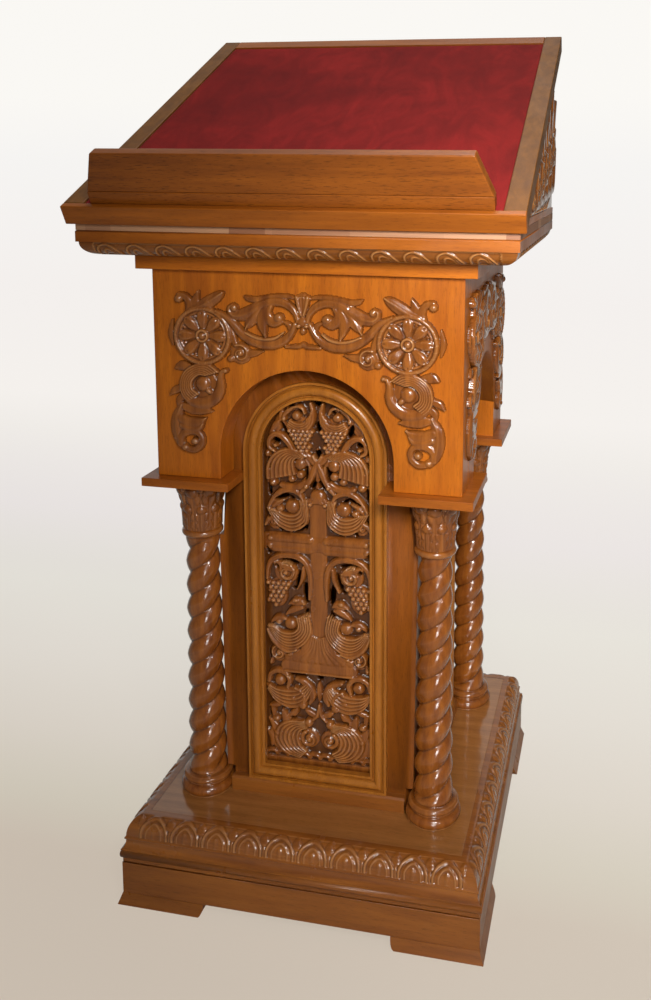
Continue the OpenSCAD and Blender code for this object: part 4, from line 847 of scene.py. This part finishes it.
def round_piece(name, node, centre, radius, angle, height, mat, reach):
    """A turned and carved piece from its radius at each height and angle."""
    verts = np.stack([centre[0] + radius * np.cos(angle), centre[1] + radius * np.sin(angle), height], -1)
    add_mesh(name, verts, grid_faces(*radius.shape, closed=True), mat, [node], hollows(radius, 6, reach))


bell = leaf_capital()
shaft_radius, shaft_height = twist_rows()
rim = BELL_TALL - 5                                 # the leaves end below the plain rim of the bell
bell_radius = (BELL_FOOT_R - 1 + (BELL_TOP_R - BELL_FOOT_R - 0.6) * np.clip(bell.V / BELL_TALL, 0, 1) ** 2.2
               + bell.H * np.clip((rim - bell.V) / 3, 0, 1))
bell_radius = np.where(bell.V > rim, BELL_TOP_R, bell_radius)
for corner, turn in zip(CORNERS, (0.4, 2.1, 3.0, 5.2)):
    low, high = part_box("column_" + corner)
    centre = (low[0] + high[0]) / 2 / MM, (low[1] + high[1]) / 2 / MM
    round_piece("twist_" + corner, "column_" + corner, centre, shaft_radius, ANGLE[None, :] + turn,
                shaft_height, TURNED, 1.6)
    round_piece("bell_" + corner, "capital_" + corner, centre, bell_radius, bell.U / BELL_R + turn,
                CAPITAL_Z[0] + bell.V, CARVED, 1.8)


# Scrolls on the sides of the desk
RUN_FOOT, RUN_TOP = extent("side_carving_right", 2)
RUN_BACK = extent("side_carving_right", 1)[1] - BASE_Y
RUN_OUT = extent("desk_side_right", 0)[1] - 3.5


def under_slab(y):
    return RUN_TOP - (RUN_BACK - y) * math.tan(SLOPE)


def desk_scrolls():
    """Running acanthus that grows with the height of the board; u runs towards the back."""
    r = Relief(RUN_BACK - (RUN_TOP - RUN_FOOT) / math.tan(SLOPE), RUN_BACK, RUN_FOOT, RUN_TOP, step=1.1,
               ground=1.4)
    for k in range(6):
        y = -130 + 69 * k
        tall = under_slab(y) - RUN_FOOT
        rad = min(34.0, tall * 0.36)
        z = RUN_FOOT + tall * 0.42
        r.stroke([(y - tall * 0.55, RUN_FOOT + 4), (y - tall * 0.2, RUN_FOOT + tall * 0.1),
                  (y + rad * 0.7, RUN_FOOT + tall * 0.16), (y + rad * 1.25, z)],
                 [1.4, rad * 0.16, rad * 0.24, rad * 0.2], 8, 3, 3, 1)
        r.curl(y, z, rad, 200, 1.4, 1, 9.2, 3.2, 3, 0.24)
        for u, v, angle, long, wide, height, foot, bend in (
                (-0.5, 0.8, 100, 0.3, 0.5, 8, 2.6, -40), (0.3, 0.95, 60, 0.34, 0.5, 8.4, 2.6, -30),
                (0.95, 0.5, 35, 0.34, 0.45, 7.6, 2.6, -25), (0.9, -0.7, -25, 0.3, 0.42, 7.2, 2.6, 50),
                (-0.9, -0.3, 160, 0.26, 0.36, 6.6, 2.4, 30)):
            r.leaf(y + rad * u, z + rad * v, angle, tall * long, rad * wide, height, foot, bend)
        r.grapes(y + rad * 1.1, z + rad * 0.1, 2, rad * 0.12, 7.4, 3)
    r.stroke([(-215, RUN_FOOT + 3), (-170, RUN_FOOT + 5), (-140, RUN_FOOT + 10)], [1, 3, 4], 7, 2.6, 1)
    r.H = np.where(r.V > under_slab(r.U) - 0.6, -1.0, r.H)
    return r


scrolls = desk_scrolls()
for side, sign in (("right", 1), ("left", -1)):
    scrolls.piece("desk_scrolls_" + side,
                  lambda u, v, h, s=sign: np.stack([s * (RUN_OUT + h), u + BASE_Y, v], -1),
                  ["side_carving_" + side], cut=0, ground=4)


# Boards
SHAFT_ROOM, CAPITAL_ROOM = 30, 40                   # radii of the room that is cut into the core
BELL_CLEAR = 31.5                                   # room round the foot of the bell; CAPITAL_ROOM at its top
CORE_EDGE = (149.5, 131.0)                          # how far the panels along X and along Y may reach


def close_up(build, along):
    """Draws the edges of a core panel up to the tapered shafts and bells beside them; along is 0 for a panel
    that runs along X and 1 for one along Y."""
    low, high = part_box("column_front_right")
    axis = (abs(low[0] + high[0]) / 2 / MM, abs((low[1] + high[1]) / 2 / MM - BASE_Y))
    foot, ring, top = COLUMN_Z[0] + FOOT_TALL, COLUMN_Z[1] - RING_TALL - 2, CAPITAL_Z[1]
    for vert in build.verts:
        at = [vert.co.x / MM, vert.co.y / MM - BASE_Y]
        z = vert.co.z / MM
        off = [axis[0] - abs(at[0]), axis[1] - abs(at[1])]
        if max(off) > CAPITAL_ROOM + 2 or z < foot + 4:
            continue
        if along == 0 and abs(abs(at[0]) - (axis[0] - SHAFT_ROOM)) < 0.3:
            reach = FOOT_R + (TOP_R - FOOT_R) * (z - foot) / (ring - foot) + 1.0
        elif abs(math.hypot(*off) - CAPITAL_ROOM) < 0.4 and z > ring - 4:
            reach = BELL_CLEAR + (CAPITAL_ROOM - BELL_CLEAR) * (z - ring) / (top - ring)
        else:
            continue
        place = min(CORE_EDGE[along], axis[along] - math.sqrt(max(reach ** 2 - off[1 - along] ** 2, 1.0)))
        if place > abs(at[along]):
            at[along] = math.copysign(place, at[along])
            vert.co.x, vert.co.y = at[0] * MM, (at[1] + BASE_Y) * MM


def board(node, mats, bevel, segments=2, shape=None):
    """A copy of a CAD board with its arrises eased. Faces of the runs along Y take the second material,
    where there is one; shape changes the copy first."""
    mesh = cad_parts[node].data.copy()
    mesh.name = node + "_eased"
    piece = bpy.data.objects.new(node + "_eased", mesh)
    bpy.context.scene.collection.objects.link(piece)
    build = bmesh.new()
    build.from_mesh(mesh)
    bmesh.ops.remove_doubles(build, verts=build.verts, dist=1e-5)
    if shape:
        shape(build)
    bmesh.ops.dissolve_limit(build, angle_limit=math.radians(0.5), verts=build.verts, edges=build.edges)
    if bevel:
        sharp = [e for e in build.edges if len(e.link_faces) == 2
                 and e.calc_face_angle(0) > math.radians(38) and e.calc_length() > 4 * bevel * MM]
        bmesh.ops.bevel(build, geom=sharp, offset=bevel * MM, segments=segments, profile=0.5, affect="EDGES",
                        clamp_overlap=True)
    for face in build.faces:
        face.smooth = True
        centre = face.calc_center_median()
        along_y = abs(centre.x) > abs(centre.y - BASE_Y * MM) + 0.001
        face.material_index = int(along_y and len(mats) > 1)
    build.to_mesh(mesh)
    build.free()
    mesh.materials.clear()
    for mat in mats:
        mesh.materials.append(mat)
    piece.modifiers.new("edges", "WEIGHTED_NORMAL").keep_sharp = False
    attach(piece, "root")
    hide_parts(node)


def dress(node, mat):
    """Gives a CAD node its material as it stands."""
    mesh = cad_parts[node].data
    mesh.materials.clear()
    mesh.materials.append(mat)


for nodes, slot, mats, bevel in (
        (["foot_" + corner for corner in CORNERS], "case_wood", (PLINTH_X, PLINTH_Y), 0.8),
        (["impost_" + corner for corner in CORNERS], "moulding_wood", (TRIM_X, TRIM_Y), 0.8),
        (["skirting_boards"], "case_wood", (PLINTH_X, PLINTH_Y), 1.0),
        (["plinth_base_board", "core_skirting_strips"], "moulding_wood", (PLINTH_X, PLINTH_Y), 0.8),
        (["plinth_top_board"], "case_wood", (GLOSSY_TOP,), 0.8),
        (["box_board_" + side for side in SIDES], "case_wood", (CASE_Z,), 1.6),
        (["plain_panel_rear", "slab_board"], "plain_ply", (PANEL_PLAIN,), 0),
        (["fillet_board"], "moulding_wood", (CASE_X, CASE_Y), 0.8),
        (["cornice_board"], "moulding_wood", (TRIM_X, TRIM_Y), 1.0),
        (["desk_bottom"], "plain_ply", (PLY,), 0.6),
        (["desk_side_left", "desk_side_right"], "case_wood", (CASE_Y,), 0.8),
        (["desk_back_board"], "case_wood", (CASE_X,), 0.8),
        (["slab_stile_left", "slab_stile_right"], "frame_wood", (SLAB_S,), 1.4),
        (["slab_top_rail", "slab_front_rail"], "frame_wood", (SLAB_X,), 1.4),
        (["book_stop_strip"], "stop_oak", (STOP,), 1.0)):
    for node in nodes:
        board(node, mats, bevel)
board("book_stop", (STOP,), 2.0, segments=3)
for side in SIDES:
    board("core_panel_" + side, (CORE_Z,), 0.6,
          shape=lambda build, along=int(side in ("left", "right")): close_up(build, along))
    dress("arch_frame_" + side, FRAME)
dress("core_posts", INSIDE)
dress("plinth_bearers", INSIDE)


# Velvet
VELVET_HALF = extent("velvet", 0)[1]
VELVET_LONG = 561.0
RAIL = 10                                           # front rail below the velvet, along the slope


def on_slope(u, s, h):
    """Across, up the slope and out of the slab's face, in mm from its front top arris."""
    front = extent("slab_front_rail", 1)[0]
    top = extent("slab_front_rail", 2)[1] - RAIL * math.sin(SLOPE)
    c, n = math.cos(SLOPE), math.sin(SLOPE)
    return np.stack([u, front + s * c - h * n, top + s * n + h * c], -1)


def velvet_sheet():
    step, gap, under = 3.0, 0.3, -4.2               # of the points, round its edge, and depth of its underside
    u = np.linspace(-VELVET_HALF + gap, VELVET_HALF - gap, int(2 * VELVET_HALF / step))
    s = np.linspace(RAIL + gap, RAIL + VELVET_LONG - gap, int(VELVET_LONG / step))
    U, S = np.meshgrid(u, s)
    edge = np.minimum(VELVET_HALF - np.abs(U), np.minimum(S - RAIL, RAIL + VELVET_LONG - S))
    wave = 0.22 * np.sin(U / 61 + 1.3 * np.sin(S / 97)) * np.sin(S / 83 + 0.7) + 0.12 * np.sin(U / 23 + S / 41)
    top = -1.5 + wave * np.clip(edge / 30, 0, 1) - 1.3 * np.exp(-edge / 2.2)
    faces = grid_faces(*U.shape)
    index = np.arange(U.size).reshape(U.shape)
    rim = np.concatenate([index[0, :], index[1:, -1], index[-1, -2::-1], index[-2:0:-1, 0]])
    after = np.roll(rim, -1)
    wall = np.stack([rim, rim + U.size, after + U.size, after], -1)
    piece = add_mesh("velvet_cover", [on_slope(U, S, top), on_slope(U, S, np.full_like(top, under))],
                     np.vstack([faces, faces[:, ::-1] + U.size, wall]), VELVET, ["velvet"])


velvet_sheet()


# Floor, light and camera
STAGE_TONES = [(0.179, (0.70, 0.605, 0.506)), (0.193, (0.744, 0.683, 0.571)), (0.215, (0.82, 0.755, 0.67)),
               (0.245, (0.88, 0.83, 0.758)), (0.286, (0.93, 0.90, 0.833)), (0.346, (0.954, 0.906, 0.893)),
               (0.445, (0.951, 0.916, 0.877)), (0.64, (0.943, 0.908, 0.885)), (0.775, (0.96, 0.943, 0.926)),
               (0.83, (1.0, 0.98, 0.945))]


def stage_material():
    """Pale floor that runs up into a white wall. The camera sees it even, with a light shadow."""
    g = Graph("stage_paper")
    split = g.node("SeparateXYZ", {0: g.coord})
    away = g.math("ADD", split["Y"], split["Z"])
    depth = g.span(away, -1.6, 6.4, 0, 1)
    g.give(g.bsdf, {"Base Color": (0.72, 0.68, 0.60), "Roughness": 0.9, "Specular IOR Level": 0.1})
    glow = g.node("Emission", {"Color": g.ramp(depth, STAGE_TONES)})
    path = g.node("LightPath", {})
    seen = g.math("MULTIPLY", path["Is Camera Ray"], g.ramp(depth, [(0.30, 0.75), (0.50, 0.95)]))
    behind = g.math("MULTIPLY", g.span(away, 0.3, 1.6, 0, 0.55), g.span(split["X"], 0.4, 1.4, 1, 0))
    mirrored = g.math("MULTIPLY", path["Is Glossy Ray"], behind)
    mixer = g.node("MixShader", {"Fac": g.math("ADD", seen, mirrored), 1: g.bsdf.outputs[0], 2: glow[0]})
    g.give(g.out, {0: mixer[0]})
    return g.material


def backdrop():
    """A sheet of paper laid on the floor that curves up behind the lectern."""
    start, bend, radius, end, half = -6.0, 2.0, 1.6, 6.0, 7.0
    line = [(start, 0.0), (bend, 0.0)]
    for a in np.linspace(0.05, math.pi / 2, 24):
        line.append((bend + radius * math.sin(a), radius - radius * math.cos(a)))
    line.append((bend + radius, end))
    verts = [(x, y, z) for y, z in line for x in (-half, half)]
    faces = [(2 * i, 2 * i + 1, 2 * i + 3, 2 * i + 2) for i in range(len(line) - 1)]
    mesh = bpy.data.meshes.new("backdrop")
    mesh.from_pydata(verts, [], faces)
    for polygon in mesh.polygons:
        polygon.use_smooth = True
    mesh.materials.append(stage_material())
    paper = bpy.data.objects.new("backdrop", mesh)
    bpy.context.scene.collection.objects.link(paper)


def area_light(name, place, size, power, colour=(1, 1, 1), target=(0, 0, 0.5), spread=180):
    """A square lamp that points at its target; it lights the scene but isn't seen itself."""
    data = bpy.data.lights.new(name, "AREA")
    data.size = size
    data.energy = power
    data.color = colour
    data.spread = math.radians(spread)
    lamp = bpy.data.objects.new(name, data)
    lamp.location = place
    lamp.rotation_euler = (Vector(target) - Vector(place)).to_track_quat("-Z", "Y").to_euler()
    lamp.visible_camera = False
    bpy.context.scene.collection.objects.link(lamp)


backdrop()
area_light("key", (0.45, -1.02, 1.18), 0.30, 3.5, (1, 0.97, 0.92), (0.44, -0.30, 0.88), 84)
area_light("glint", (0.58, -1.10, 1.30), 0.07, 2, (1, 0.98, 0.98))
area_light("spark_right", (1.05, -1.35, 0.95), 0.06, 1.2, (1, 0.95, 1))
area_light("front", (0.8, -2.5, 1.3), 0.9, 4.5, (1, 0.98, 0.95))
area_light("low", (0.7, -2.3, 0.5), 0.5, 0.6, (1, 0.98, 0.95), (0.20, -0.25, 0.10), 34)
area_light("top", (0.2, 0.3, 3.2), 1.6, 28, target=(0, 0, 0.8))

world = bpy.data.worlds.new("studio")
bpy.context.scene.world = world
world.use_nodes = True
world.node_tree.nodes["Background"].inputs["Color"].default_value = (1.0, 0.97, 0.93, 1.0)
world.node_tree.nodes["Background"].inputs["Strength"].default_value = 0.10

# The camera that was fitted to the photo: metres, radians and mm.
CAMERA_PLACE = (0.40873, -1.346635, 1.04384)
YAW, PITCH, ROLL = 0.1905, 0.1357, 0.0098
LENS, SHIFT = 33.44, (-0.1145, -0.2)
forward = Vector((-math.sin(YAW) * math.cos(PITCH), math.cos(YAW) * math.cos(PITCH), -math.sin(PITCH)))
right = Vector((math.cos(YAW), math.sin(YAW), 0.0))
up = right.cross(forward)
right_rolled = right * math.cos(ROLL) + up * math.sin(ROLL)
up_rolled = up * math.cos(ROLL) - right * math.sin(ROLL)
data = bpy.data.cameras.new("camera")
data.sensor_fit = "AUTO"
data.sensor_width = 36.0
data.lens = LENS
data.shift_x, data.shift_y = SHIFT
camera = bpy.data.objects.new("camera", data)
turn = Matrix((right_rolled, up_rolled, -forward)).transposed()
camera.matrix_world = Matrix.Translation(CAMERA_PLACE) @ turn.to_4x4()
bpy.context.scene.collection.objects.link(camera)
bpy.context.scene.camera = camera
bpy.context.scene.view_settings.view_transform = "Standard"
